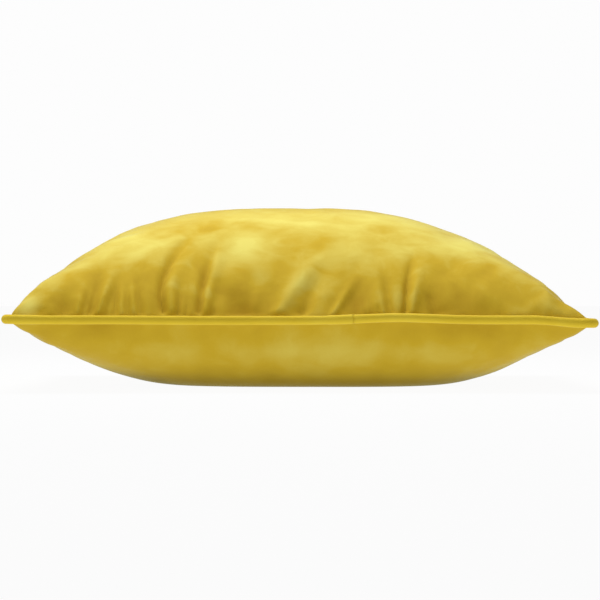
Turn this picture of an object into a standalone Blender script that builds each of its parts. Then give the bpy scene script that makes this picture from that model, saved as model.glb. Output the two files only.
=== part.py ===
"""Square throw pillow: a velvet cover with a piped seam and a zip, round a cotton pad filled with fibre.

Metres, +Z up. The origin is the middle of the face that the pillow lies on. +X runs along the front edge, and
the zip lies in the underside, along the back edge at +Y.
"""

import math

import bmesh
import bpy
from mathutils import Euler, Matrix, Vector

# Overall form
WIDTH = 0.490  # over the piping, along X
DEPTH = 0.490  # over the piping, along Y
HEIGHT = 0.160  # from the surface it lies on to the top of the crown
SEAM_HEIGHT = 0.0617  # middle of the piping above that surface
UNDERSIDE_DROP = 0.084  # how far the underside would hang below the seam with nothing under it
REST_BLEND = 0.006  # height of the turn from the flat rest patch into the sides
EDGE_PULL = 0.0106  # how far the middle of an edge is drawn in from its corners
EDGE_PULL_POWER = 2.3
CORNER_RADIUS = 0.0066  # of the panels' sewn outline

# How full the form is towards each end: a higher power stays full for longer
TOP_FULLNESS = (3.3, 2.4)  # left, right
UNDER_FULLNESS = (2.3, 2.6)  # left, right
END_FULLNESS = 2.8  # front and back
MEETING_POWER = 2.4  # how the two directions join at the corners

# Cloth and piping
FIT_GAP = 0.0003  # between pieces that touch
PANEL_THICKNESS = 0.0010
PANEL_ALLOWANCE = 0.010  # seam allowance of the velvet panels
CORD_DIAMETER = 0.0042
WRAP_THICKNESS = 0.00085
WRAP_FLANGE = 0.012  # from the middle of the cord to the edge of the strip
NOTCH_CLEARANCE = 0.002  # what the clipped flange leaves free at the middle of a corner
SPLICE_X = 0.045  # where the piping's ends meet on the front edge
LAP_LENGTH = 0.020  # the folded end that covers the other
LAP_RISE = 0.00035
SECTION_POINTS = 9  # round the cord

# Zip
ZIP_LENGTH = 0.330  # row of teeth
ZIP_INSET = 0.029  # from the back seam to the middle of the zip, seen from below
TAPE_WIDTH = 0.009
TAPE_THICKNESS = 0.0005
TAPE_END = 0.006  # tape past each stop
TOOTH_PITCH = 0.003
TOOTH_WIDTH = 0.0014
TOOTH_LENGTH = 0.0020
TOOTH_SPINE = 0.0008
TOOTH_HEIGHT = 0.0022
STOP_LENGTH = 0.0025
STOP_JAW = 0.0007
SLIDER_LENGTH = 0.010
SLIDER_PLATE = 0.0009
SLIDER_WALL = 0.0008
DIVIDER_WIDTH = 0.0008
DIVIDER_LENGTH = 0.0020
SLOT_CLEARANCE = 0.0005  # between the slider and the edges of the slot
CROWN_WIDTH = 0.0016
CROWN_SPAN = 0.0040  # free length under the crown
CROWN_THICKNESS = 0.0010
PULL_LENGTH = 0.022
PULL_WIDTH = 0.0056
PULL_THICKNESS = 0.0012
PULL_HOLE_LENGTH = 0.006
PULL_HOLE_WIDTH = 0.0024
PULL_HOLE_MARGIN = 0.004

# Pad inside the cover
INSERT_INSET = 0.020  # the pad's seam inside the cover's seam
INSERT_CLEARANCE = 0.0004
CASE_THICKNESS = 0.0006
CASE_ALLOWANCE = 0.006
FILLING_INSET = 0.007  # the filling's edge inside the pad's seam

# Labels
LABEL_THICKNESS = 0.0004
CARE_LABEL = (0.024, 0.020)
CARE_LABEL_X = 0.022
INSERT_LABEL = (0.022, 0.014)
INSERT_LABEL_X = -0.022

# Worked out from the sizes above
PIPING_RADIUS = CORD_DIAMETER / 2 + FIT_GAP + WRAP_THICKNESS
BORE_RADIUS = CORD_DIAMETER / 2 + FIT_GAP
SEAM_GAP = FIT_GAP / 2 + WRAP_THICKNESS + FIT_GAP  # from the seam's plane to a panel's allowance
PANEL_OFFSET = math.sqrt((PIPING_RADIUS + FIT_GAP) ** 2 - SEAM_GAP**2)  # from the cord to a panel's edge
HALF_X = WIDTH / 2 - PIPING_RADIUS - PANEL_OFFSET
HALF_Y = DEPTH / 2 - PIPING_RADIUS - PANEL_OFFSET
ROW_EDGE = DIVIDER_WIDTH / 2 + FIT_GAP  # from the zip's middle line to the tips of the teeth
TAPE_EDGE = ROW_EDGE + TOOTH_LENGTH + TOOTH_SPINE + FIT_GAP
SLIDER_HALF = TAPE_EDGE + SLIDER_WALL
SLOT_HALF = SLIDER_HALF + SLOT_CLEARANCE
TAPE_TOP = -PANEL_THICKNESS - FIT_GAP
TAPE_MIDDLE = TAPE_TOP - TAPE_THICKNESS / 2
PLATE_INNER = TOOTH_HEIGHT / 2 + FIT_GAP  # from the tape's middle to a slider plate
CHAIN_HALF = ZIP_LENGTH / 2
STOP_X = CHAIN_HALF + FIT_GAP + STOP_LENGTH / 2
TAPE_HALF = CHAIN_HALF + FIT_GAP + STOP_LENGTH + TAPE_END
ZIP_STRIP = 2 * (TAPE_EDGE + TAPE_WIDTH + FIT_GAP)  # width of the flat band that the zip lies in
PIVOT_HEIGHT = PULL_THICKNESS / math.sqrt(2) + FIT_GAP  # above the slider's outer plate, for a square bar
FLAT_HALF = TAPE_HALF + 10 * FIT_GAP


def unit_lines(half, marks, inner_steps):
    """Grid lines from -1 to 1: at each mark, a distance in from the edge, then evenly to the middle."""
    values = [1 - mark / half for mark in marks]
    values += [values[-1] * (1 - (i + 1) / inner_steps) for i in range(inner_steps)]
    return [-value for value in values[:-1]] + values[::-1]


EDGE_MARK = 0.005
CORNER_MARK = 0.015
ZIP_MARK = HALF_X - FLAT_HALF
U_LINES = unit_lines(HALF_X, [0, EDGE_MARK, CORNER_MARK, (CORNER_MARK + ZIP_MARK) / 2, ZIP_MARK], 4)
V_LINES = unit_lines(HALF_Y, [0, EDGE_MARK, ZIP_INSET - ZIP_STRIP / 2, ZIP_INSET + ZIP_STRIP / 2], 5)


class Crown:
    """One side of a soft form: a plan outline with drawn-in edges, swelling up or down from its seam."""

    def __init__(self, inset, edge_z, rise, fullness, floor=None, holds_zip=False):
        self.half_x = HALF_X - inset
        self.half_y = HALF_Y - inset
        self.edge_z = edge_z
        self.rise = rise
        self.fullness = fullness
        self.floor = floor
        self.holds_zip = holds_zip

    def plan(self, u, v):
        """The place of a grid point seen from above."""
        corner_u, corner_v = CORNER_RADIUS / self.half_x, CORNER_RADIUS / self.half_y
        over_u = (abs(u) - 1 + corner_u) / corner_u
        over_v = (abs(v) - 1 + corner_v) / corner_v
        if over_u > 0 and over_v > 0:
            rounding = max(over_u, over_v) / math.hypot(over_u, over_v)
            u = math.copysign(1 - corner_u + corner_u * over_u * rounding, u)
            v = math.copysign(1 - corner_v + corner_v * over_v * rounding, v)
        pull_y = EDGE_PULL if v < 0 else 0  # the zip holds the back edge straight
        x = u * (self.half_x - EDGE_PULL * (1 - abs(v) ** EDGE_PULL_POWER))
        y = v * (self.half_y - pull_y * (1 - abs(u) ** EDGE_PULL_POWER))
        return x, y

    def height(self, u, v):
        """The height of a grid point."""
        if self.holds_zip and v > 0:
            flat = FLAT_HALF / HALF_X
            held = min(1, v / V_LINES[-4])
            beyond = math.copysign(max(0, (abs(u) - flat) / (1 - flat)), u)
            u += (beyond - u) * held**3
        side = 1 - abs(u) ** self.fullness[0 if u < 0 else 1]
        end = 1 - abs(v) ** END_FULLNESS
        if min(side, end) <= 0:
            return self.edge_z
        swell = (side**-MEETING_POWER + end**-MEETING_POWER - 1) ** (-1 / MEETING_POWER)
        z = self.edge_z + self.rise * swell
        if self.floor is not None and z < self.floor + REST_BLEND:
            z = self.floor + max(0, z - self.floor + REST_BLEND) ** 2 / (4 * REST_BLEND)
        return z

    def point(self, u, v):
        """The place of a grid point."""
        return Vector((*self.plan(u, v), self.height(u, v)))


COVER_TOP = Crown(0, SEAM_HEIGHT + SEAM_GAP, HEIGHT - SEAM_HEIGHT - SEAM_GAP, TOP_FULLNESS)
COVER_UNDER = Crown(0, SEAM_HEIGHT - SEAM_GAP, -UNDERSIDE_DROP, UNDER_FULLNESS, 0, True)
CASE_CROWN = HEIGHT - PANEL_THICKNESS - INSERT_CLEARANCE
CASE_FLOOR = PANEL_THICKNESS + INSERT_CLEARANCE
CASE_EDGE = FIT_GAP / 2
CASE_TOP = Crown(
    INSERT_INSET, SEAM_HEIGHT + CASE_EDGE, CASE_CROWN - SEAM_HEIGHT - CASE_EDGE, TOP_FULLNESS
)
CASE_UNDER = Crown(INSERT_INSET, SEAM_HEIGHT - CASE_EDGE, -UNDERSIDE_DROP, UNDER_FULLNESS, CASE_FLOOR)
FILLING_TOP = Crown(
    INSERT_INSET + FILLING_INSET,
    SEAM_HEIGHT,
    CASE_CROWN - CASE_THICKNESS - FIT_GAP - SEAM_HEIGHT,
    TOP_FULLNESS,
)
FILLING_UNDER = Crown(
    INSERT_INSET + FILLING_INSET,
    SEAM_HEIGHT,
    -UNDERSIDE_DROP,
    UNDER_FULLNESS,
    CASE_FLOOR + CASE_THICKNESS + 2 * FIT_GAP,
)


def clear_scene():
    """Removes every object that the new scene starts with."""
    for obj in list(bpy.data.objects):
        bpy.data.objects.remove(obj)


def collection(name):
    """A new collection in the scene."""
    made = bpy.data.collections.new(name)
    bpy.context.scene.collection.children.link(made)
    return made


def material(name, colour, roughness, metallic=0.0):
    """A Principled material of one colour."""
    made = bpy.data.materials.new(name)
    made.use_nodes = True
    shader = made.node_tree.nodes["Principled BSDF"]
    shader.inputs["Base Color"].default_value = (*colour, 1)
    shader.inputs["Roughness"].default_value = roughness
    shader.inputs["Metallic"].default_value = metallic
    made.diffuse_color = (*colour, 1)
    return made


def add_object(name, data, finish, where):
    """Links a mesh or curve as a named object with its own material."""
    made = bpy.data.objects.new(name, data)
    made.data.materials.append(finish)
    where.objects.link(made)
    return made


def mesh_object(name, bm, finish, where):
    """Turns a bmesh into a named object."""
    mesh = bpy.data.meshes.new(name)
    bm.to_mesh(mesh)
    bm.free()
    return add_object(name, mesh, finish, where)


def add_crown_grid(bm, crown):
    """A grid laid over a crown, each square split from the middle outwards. Returns each vertex's grid place."""
    columns, rows = len(U_LINES) - 1, len(V_LINES) - 1
    grid = bmesh.ops.create_grid(bm, x_segments=columns, y_segments=rows, size=1)
    places = {}
    for vert in grid["verts"]:
        u = U_LINES[round((vert.co.x + 1) / 2 * columns)]
        v = V_LINES[round((vert.co.y + 1) / 2 * rows)]
        places[vert] = (u, v)
        vert.co = crown.point(u, v)
    faces = list(dict.fromkeys(face for vert in places for face in vert.link_faces))
    if crown.rise < 0:
        bmesh.ops.reverse_faces(bm, faces=faces)
    for face in faces:
        ordered = sorted(face.verts, key=lambda vert: abs(places[vert][0]) + abs(places[vert][1]))
        bmesh.utils.face_split(face, ordered[0], ordered[-1])
    return places


def cloth_shell(name, crown, allowance, thickness, finish, where):
    """A sewn panel: its swelling face and the seam allowance turned in under it, with an even thickness."""
    bm = bmesh.new()
    places = add_crown_grid(bm, crown)
    rim = [edge for edge in bm.edges if edge.is_boundary]
    turned = bmesh.ops.extrude_edge_only(bm, edges=rim)["geom"]
    for vert in [item for item in turned if isinstance(item, bmesh.types.BMVert)]:
        source = next(edge.other_vert(vert) for edge in vert.link_edges if edge.other_vert(vert) in places)
        u, v = places[source]
        inner = crown.plan(u * (1 - allowance / crown.half_x), v * (1 - allowance / crown.half_y))
        vert.co = (*inner, crown.edge_z)
    panel = mesh_object(name, bm, finish, where)
    shell = panel.modifiers.new("thickness", "SOLIDIFY")
    shell.thickness = thickness
    shell.offset = -1
    shell.use_even_offset = True
    return panel


def filling_solid(name, finish, where):
    """The fibre filling: one closed lens between the two sides of the pad's case."""
    bm = bmesh.new()
    add_crown_grid(bm, FILLING_TOP)
    add_crown_grid(bm, FILLING_UNDER)
    bmesh.ops.remove_doubles(bm, verts=bm.verts, dist=1e-6)
    return mesh_object(name, bm, finish, where)


def seam_line():
    """The middle of the piping as a closed list of points, anticlockwise from the front left corner."""
    us, vs = U_LINES[:-1], V_LINES[:-1]
    loop = [(u, -1) for u in us] + [(1, v) for v in vs] + [(-u, 1) for u in us] + [(-1, -v) for v in vs]
    edge = [Vector(COVER_TOP.plan(u, v)) for u, v in loop]
    line = []
    for i, point in enumerate(edge):
        before = (point - edge[i - 1]).normalized()
        after = (edge[(i + 1) % len(edge)] - point).normalized()
        first, second = Vector((before.y, -before.x)), Vector((after.y, -after.x))
        line.append(point + PANEL_OFFSET * (first + second) / (1 + first.dot(second)))
    return line


def split_at(line, x):
    """The number of the front edge's segment that passes x, and the point on it."""
    for i in range(len(U_LINES) - 1):
        if line[i].x <= x < line[i + 1].x:
            return i, line[i].lerp(line[i + 1], (x - line[i].x) / (line[i + 1].x - line[i].x))
    raise ValueError("the splice lies outside the front edge")


def piping_route():
    """The open route of the piping from its splice round to its splice, and where its lap begins on it."""
    line = seam_line()
    start, first = split_at(line, SPLICE_X + FIT_GAP / 2)
    end, last = split_at(line, SPLICE_X - FIT_GAP / 2)
    lap, lap_start = split_at(line, SPLICE_X - LAP_LENGTH)
    step, lap_full = split_at(line, SPLICE_X - LAP_LENGTH + FIT_GAP)
    route = [first] + line[start + 1 :] + line[: lap + 1] + [lap_start] + line[lap + 1 : step + 1]
    lap_index = len(route)
    route += [lap_full] + line[step + 1 : end + 1] + [last]
    return route, lap_index


def flange_width(point):
    """The strip's width at a place on the route: clipped short where the seam turns a corner."""
    radius = CORNER_RADIUS + PANEL_OFFSET
    near_x = WIDTH / 2 - PIPING_RADIUS - abs(point.x) < radius
    near_y = DEPTH / 2 - PIPING_RADIUS - abs(point.y) < radius + EDGE_PULL
    inside_corner = near_x and near_y and DEPTH / 2 - PIPING_RADIUS - abs(point.y) < radius
    return radius - NOTCH_CLEARANCE if inside_corner else WRAP_FLANGE


def wrap_section(flange, lap):
    """The strip's section as (inward, up) pairs: round the cord, with two plies reaching into the seam."""
    half_ply = FIT_GAP / 2
    outer_z = half_ply + WRAP_THICKNESS
    outer_start = math.asin(outer_z / PIPING_RADIUS)
    inner_start = math.asin(half_ply / BORE_RADIUS)
    steps = [i / (SECTION_POINTS - 1) for i in range(SECTION_POINTS)]
    section = [(flange, outer_z)]  # the outer half of the loop, then the bore's half in the opposite order
    for t in steps:
        angle = outer_start + t * (2 * math.pi - 2 * outer_start)
        radius = PIPING_RADIUS + lap * (1 - math.cos(angle)) / 2
        section.append((radius * math.cos(angle), radius * math.sin(angle)))
    section += [(flange, -outer_z), (flange, -half_ply)]
    for t in reversed(steps):
        angle = inner_start + t * (2 * math.pi - 2 * inner_start)
        section.append((BORE_RADIUS * math.cos(angle), BORE_RADIUS * math.sin(angle)))
    section.append((flange, half_ply))
    return section


def piping_wrap(finish, where):
    """The velvet strip lofted along the seam, mitred at each point, from the splice round to the splice."""
    route, lap_index = piping_route()
    bm = bmesh.new()
    rings = []
    for i, point in enumerate(route):
        after = (route[min(i + 1, len(route) - 1)] - route[min(i, len(route) - 2)]).normalized()
        before = (route[max(i, 1)] - route[max(i - 1, 0)]).normalized()
        first, second = Vector((-before.y, before.x)), Vector((-after.y, after.x))
        inward = (first + second) / (1 + first.dot(second))
        section = wrap_section(flange_width(point), LAP_RISE if i >= lap_index else 0)
        rings.append([bm.verts.new((*(point + inward * s), SEAM_HEIGHT + z)) for s, z in section])
    for ring, following in zip(rings, rings[1:]):
        for i, vert in enumerate(ring):
            bm.faces.new((ring[i - 1], vert, following[i], following[i - 1]))
    for ring in (rings[0], rings[-1]):
        for i in range(len(ring) // 2 - 1):
            bm.faces.new((ring[i], ring[i + 1], ring[-2 - i], ring[-1 - i]))
    bmesh.ops.recalc_face_normals(bm, faces=bm.faces)
    return mesh_object("piping_wrap", bm, finish, where)


def piping_cord(finish, where):
    """The filler cord: a tube along the piping's route."""
    route, _ = piping_route()
    curve = bpy.data.curves.new("piping_cord", "CURVE")
    curve.dimensions = "3D"
    curve.bevel_depth = CORD_DIAMETER / 2
    curve.bevel_resolution = 2
    curve.use_fill_caps = True
    spline = curve.splines.new("POLY")
    spline.points.add(len(route) - 1)
    for target, point in zip(spline.points, route):
        target.co = (point.x, point.y, SEAM_HEIGHT, 1)
    return add_object("piping_cord", curve, finish, where)


def flat_outline(name, outlines, thickness, finish, where):
    """A flat piece with straight-edged outlines, the first its edge and the others its holes."""
    curve = bpy.data.curves.new(name, "CURVE")
    curve.dimensions = "2D"
    curve.fill_mode = "BOTH"
    curve.extrude = thickness / 2
    for outline in outlines:
        spline = curve.splines.new("POLY")
        spline.use_cyclic_u = True
        spline.points.add(len(outline) - 1)
        for target, (x, y) in zip(spline.points, outline):
            target.co = (x, y, 0, 1)
    return add_object(name, curve, finish, where)


def box(name, low, high, finish, where):
    """A block between two corners."""
    low, high = Vector(low), Vector(high)
    bm = bmesh.new()
    bmesh.ops.create_cube(bm, size=1)
    bmesh.ops.scale(bm, vec=high - low, verts=bm.verts)
    bmesh.ops.translate(bm, vec=(low + high) / 2, verts=bm.verts)
    return mesh_object(name, bm, finish, where)


def cutter(made, where):
    """Marks an object as one that only cuts or joins others."""
    made.hide_render = True
    made.display_type = "WIRE"
    for holder in list(made.users_collection):
        holder.objects.unlink(made)
    where.objects.link(made)
    return made


def combine(target, tool, operation):
    """Cuts the tool out of the target, or joins it on."""
    change = target.modifiers.new(tool.name, "BOOLEAN")
    change.operation = operation
    change.solver = "EXACT"
    change.object = tool


def plane_frame(start, end):
    """The place and turn of a plane at the middle of start and end, its Y along them and its X along X."""
    across = (end - start).normalized()
    along = Vector((1, 0, 0))
    turn = Matrix((along, across, along.cross(across))).transposed().to_4x4()
    return Matrix.Translation((start + end) / 2) @ turn


def set_frame(made, frame, parent=None):
    """Places an object by a frame, under a parent where it has one."""
    made.parent = parent
    made.matrix_local = frame
    return made


def empty(name, frame, where, parent=None):
    """A named frame for others to hang on."""
    made = bpy.data.objects.new(name, None)
    made.empty_display_size = 0.01
    where.objects.link(made)
    return set_frame(made, frame, parent)


def comb(side):
    """The outline of one row of teeth. Side is 1 for the front row and -1 for the back row."""
    spine = ROW_EDGE + TOOTH_LENGTH
    outline = [(CHAIN_HALF, side * (spine + TOOTH_SPINE)), (-CHAIN_HALF, side * (spine + TOOTH_SPINE))]
    outline.append((-CHAIN_HALF, side * spine))
    first = -CHAIN_HALF + TOOTH_PITCH * (0.5 if side > 0 else 1)
    count = int((CHAIN_HALF - first - TOOTH_WIDTH) / TOOTH_PITCH) + 1
    for i in range(count):
        x = first + i * TOOTH_PITCH
        half = TOOTH_WIDTH / 2
        outline += [(x - half, side * spine), (x - half, side * ROW_EDGE)]
        outline += [(x + half, side * ROW_EDGE), (x + half, side * spine)]
    return outline + [(CHAIN_HALF, side * spine)]


def stop_jaws(side):
    """The outer part of a stop's section on one side of the zip: jaws above and below the tape's edge."""
    grip, reach = TAPE_EDGE - FIT_GAP, SLIDER_HALF
    inner, outer = TAPE_THICKNESS / 2 + FIT_GAP, TAPE_THICKNESS / 2 + FIT_GAP + STOP_JAW
    return [(side * y, z) for y, z in ((reach, outer), (reach, inner), (grip, inner), (grip, -inner))] + [
        (side * reach, -inner),
        (side * reach, -outer),
    ]


def zip_chain(frame, teeth, cloth, where):
    """Tapes, rows of teeth and stops, all placed in the zip's frame, whose Z points out of the pillow."""
    level = Matrix.Translation((0, 0, TAPE_MIDDLE))
    cross = Matrix.Translation((0, 0, TAPE_MIDDLE)) @ Euler((math.pi / 2, 0, math.pi / 2)).to_matrix().to_4x4()
    for name, side in (("front", 1), ("back", -1)):
        edges = sorted((side * TAPE_EDGE, side * (TAPE_EDGE + TAPE_WIDTH)))
        low = (-TAPE_HALF, edges[0], TAPE_TOP - TAPE_THICKNESS)
        tape = box(f"zip_tape_{name}", low, (TAPE_HALF, edges[1], TAPE_TOP), cloth, where)
        set_frame(tape, Matrix.Identity(4), frame)
        row = flat_outline(f"zip_teeth_{name}", [comb(side)], TOOTH_HEIGHT, teeth, where)
        set_frame(row, level, frame)
        jaws = stop_jaws(side)
        block = [(side * ROW_EDGE, -jaws[0][1]), (side * ROW_EDGE, jaws[0][1])] + jaws
        stop = flat_outline(f"zip_top_stop_{name}", [block], STOP_LENGTH, teeth, where)
        set_frame(stop, Matrix.Translation((-STOP_X, 0, 0)) @ cross, frame)
    both = stop_jaws(1) + stop_jaws(-1)[::-1]
    stop = flat_outline("zip_bottom_stop", [both], STOP_LENGTH, teeth, where)
    set_frame(stop, Matrix.Translation((STOP_X, 0, 0)) @ cross, frame)


def zip_slider(frame, metal, where, cutters):
    """The slider's body: two plates with side walls, joined by the divider, and the crown for the pull."""
    half = SLIDER_LENGTH / 2
    wall_gap = TAPE_THICKNESS / 2 + FIT_GAP
    outer = PLATE_INNER + SLIDER_PLATE
    body = box("zip_slider_body", (-half, -SLIDER_HALF, PLATE_INNER), (half, SLIDER_HALF, outer), metal, where)
    tools = [box("under_plate", (-half, -SLIDER_HALF, -outer), (half, SLIDER_HALF, -PLATE_INNER), metal, cutters)]
    reach = SLIDER_PLATE / 2  # how far joined blocks run into each other
    for side in (-1, 1):
        edges = sorted((side * (SLIDER_HALF - SLIDER_WALL), side * SLIDER_HALF))
        for way in (-1, 1):
            span = sorted((way * wall_gap, way * (PLATE_INNER + reach)))
            low, high = (-half, edges[0], span[0]), (half, edges[1], span[1])
            tools.append(box(f"wall_{side}_{way}", low, high, metal, cutters))
    divider = DIVIDER_WIDTH / 2
    low = (-half, -divider, -PLATE_INNER - reach)
    tools.append(box("divider", low, (-half + DIVIDER_LENGTH, divider, PLATE_INNER + reach), metal, cutters))
    under_crown = outer + 2 * PIVOT_HEIGHT
    crown_half = CROWN_SPAN / 2 + CROWN_THICKNESS
    legs = [(-crown_half, -CROWN_SPAN / 2), (CROWN_SPAN / 2, crown_half)]
    for i, (left, right) in enumerate(legs):
        low, high = (left, -CROWN_WIDTH / 2, outer - reach), (right, CROWN_WIDTH / 2, under_crown + reach)
        tools.append(box(f"crown_leg_{i}", low, high, metal, cutters))
    low = (-crown_half, -CROWN_WIDTH / 2, under_crown)
    tools.append(box("crown_bridge", low, (crown_half, CROWN_WIDTH / 2, under_crown + CROWN_THICKNESS), metal, cutters))
    set_frame(body, Matrix.Translation((0, 0, TAPE_MIDDLE)), frame)
    for tool in tools:
        set_frame(cutter(tool, cutters), Matrix.Translation((0, 0, TAPE_MIDDLE)), frame)
        combine(body, tool, "UNION")


def rounded_end(width, length, start):
    """An outline from a straight start to a round end, as points."""
    radius = width / 2
    centre = length - radius
    arc = [(i / 8) * math.pi for i in range(9)]
    return [(-radius, start)] + [(radius, start)] + [(radius * math.cos(a), centre + radius * math.sin(a)) for a in arc]


def zip_pull(frame, metal, where):
    """The pull: a cross-bar under the crown, two arms beside it and a flat tab with a hole."""
    bar = PULL_THICKNESS / 2
    window = CROWN_WIDTH / 2 + FIT_GAP
    crown_corner = math.hypot(CROWN_SPAN / 2 + CROWN_THICKNESS, PIVOT_HEIGHT + CROWN_THICKNESS)
    window_end = crown_corner + 2 * FIT_GAP
    eye = [(-window, bar), (-window, window_end), (window, window_end), (window, bar)]
    hole_end = PULL_LENGTH - PULL_HOLE_MARGIN + PULL_HOLE_WIDTH / 2
    hole = rounded_end(PULL_HOLE_WIDTH, hole_end, hole_end - PULL_HOLE_LENGTH)
    outlines = [rounded_end(PULL_WIDTH, PULL_LENGTH, -bar), eye, hole]
    tab = flat_outline("zip_pull_tab", outlines, PULL_THICKNESS, metal, where)
    set_frame(tab, Euler((math.pi / 2, 0, math.pi / 2)).to_matrix().to_4x4(), frame)


def label(name, size, x, frame, low, cloth, where):
    """A blank label lying flat in a frame, its inner face at a height in it."""
    corner = (x - size[0] / 2, -size[1] / 2, low)
    made = box(name, corner, (x + size[0] / 2, size[1] / 2, low + LABEL_THICKNESS), cloth, where)
    return set_frame(made, frame)


def build():
    """Makes the whole pillow."""
    clear_scene()
    pillow = collection("throw_pillow")
    cutters = collection("cutters")
    velvet = material("velvet", (0.61, 0.41, 0.03), 0.9)
    piping_velvet = material("piping_velvet", (0.58, 0.38, 0.03), 0.9)
    cotton_cord = material("cotton_cord", (0.80, 0.76, 0.66), 0.9)
    zip_cloth = material("zip_tape", (0.50, 0.34, 0.04), 0.85)
    zip_plastic = material("zip_teeth", (0.48, 0.33, 0.05), 0.4)
    zip_metal = material("zip_metal", (0.62, 0.60, 0.56), 0.35, 1.0)
    label_cloth = material("label", (0.86, 0.86, 0.84), 0.7)
    case_cotton = material("case_cotton", (0.82, 0.81, 0.77), 0.95)
    fibre = material("fibre", (0.88, 0.88, 0.86), 1.0)

    cloth_shell("top_panel", COVER_TOP, PANEL_ALLOWANCE, PANEL_THICKNESS, velvet, pillow)
    under = cloth_shell("bottom_panel", COVER_UNDER, PANEL_ALLOWANCE, PANEL_THICKNESS, velvet, pillow)
    piping_wrap(piping_velvet, pillow)
    piping_cord(cotton_cord, pillow)

    outer_row, inner_row = V_LINES[-3], V_LINES[-4]
    place = plane_frame(COVER_UNDER.point(0, outer_row), COVER_UNDER.point(0, inner_row))
    zip_frame = empty("zip_frame", place, pillow)
    slot_half = STOP_X + STOP_LENGTH / 2 + SLOT_CLEARANCE
    depth = 4 * PANEL_THICKNESS
    slot = box("zip_slot", (-slot_half, -SLOT_HALF, -depth), (slot_half, SLOT_HALF, depth), velvet, cutters)
    set_frame(cutter(slot, cutters), Matrix.Identity(4), zip_frame)
    combine(under, slot, "DIFFERENCE")
    zip_chain(zip_frame, zip_plastic, zip_cloth, pillow)
    closed = -CHAIN_HALF + SLIDER_LENGTH / 2
    slider_frame = empty("zip_slider_frame", Matrix.Translation((closed, 0, 0)), pillow, zip_frame)
    zip_slider(slider_frame, zip_metal, pillow, cutters)
    pivot = TAPE_MIDDLE + PLATE_INNER + SLIDER_PLATE + PIVOT_HEIGHT
    pull_frame = empty("zip_pull_frame", Matrix.Translation((0, 0, pivot)), pillow, slider_frame)
    zip_pull(pull_frame, zip_metal, pillow)

    behind_top = plane_frame(COVER_TOP.point(0, inner_row), COVER_TOP.point(0, outer_row))
    low = -PANEL_THICKNESS - 2 * FIT_GAP - LABEL_THICKNESS
    label("care_label", CARE_LABEL, CARE_LABEL_X, behind_top, low, label_cloth, pillow)

    cloth_shell("insert_case_top", CASE_TOP, CASE_ALLOWANCE, CASE_THICKNESS, case_cotton, pillow)
    cloth_shell("insert_case_bottom", CASE_UNDER, CASE_ALLOWANCE, CASE_THICKNESS, case_cotton, pillow)
    filling_solid("insert_filling", fibre, pillow)
    on_case = plane_frame(CASE_TOP.point(0, -outer_row), CASE_TOP.point(0, -inner_row))
    label("insert_label", INSERT_LABEL, INSERT_LABEL_X, on_case, 2 * FIT_GAP, label_cloth, pillow)


build()
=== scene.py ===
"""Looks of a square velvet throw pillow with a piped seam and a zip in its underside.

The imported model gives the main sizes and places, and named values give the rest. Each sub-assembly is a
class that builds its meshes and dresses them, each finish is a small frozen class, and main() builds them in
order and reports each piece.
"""

import logging
import math
from collections.abc import Callable, Sequence
from dataclasses import dataclass
from enum import Enum
from typing import Any

import bmesh
import bpy
import numpy as np
from mathutils import Matrix, Vector, noise

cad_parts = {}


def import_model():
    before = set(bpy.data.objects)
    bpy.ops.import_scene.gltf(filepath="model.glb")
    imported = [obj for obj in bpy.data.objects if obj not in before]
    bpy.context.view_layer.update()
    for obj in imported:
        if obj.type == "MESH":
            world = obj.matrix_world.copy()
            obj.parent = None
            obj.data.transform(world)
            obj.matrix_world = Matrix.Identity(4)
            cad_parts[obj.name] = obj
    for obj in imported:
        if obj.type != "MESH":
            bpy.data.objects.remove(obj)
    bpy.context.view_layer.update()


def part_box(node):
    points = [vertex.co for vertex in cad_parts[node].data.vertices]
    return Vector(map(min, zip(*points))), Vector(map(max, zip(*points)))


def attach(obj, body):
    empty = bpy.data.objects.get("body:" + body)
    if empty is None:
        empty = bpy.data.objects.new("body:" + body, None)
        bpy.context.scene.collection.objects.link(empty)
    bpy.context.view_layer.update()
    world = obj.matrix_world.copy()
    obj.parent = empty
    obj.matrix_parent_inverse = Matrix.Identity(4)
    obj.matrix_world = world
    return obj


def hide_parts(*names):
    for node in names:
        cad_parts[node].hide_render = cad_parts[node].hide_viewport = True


LOG = logging.getLogger("pillow")
Colour = tuple[float, float, float]


class Body(Enum):
    """The bodies that pieces ride on."""

    CUSHION = "cushion"
    SLIDER = "zip_slider"
    PULL = "zip_pull"


class Side(Enum):
    """The two faces of the pillow."""

    TOP = 1
    UNDER = -1


# ---- Shader tools -----------------------------------------------------------------------------------------


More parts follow.
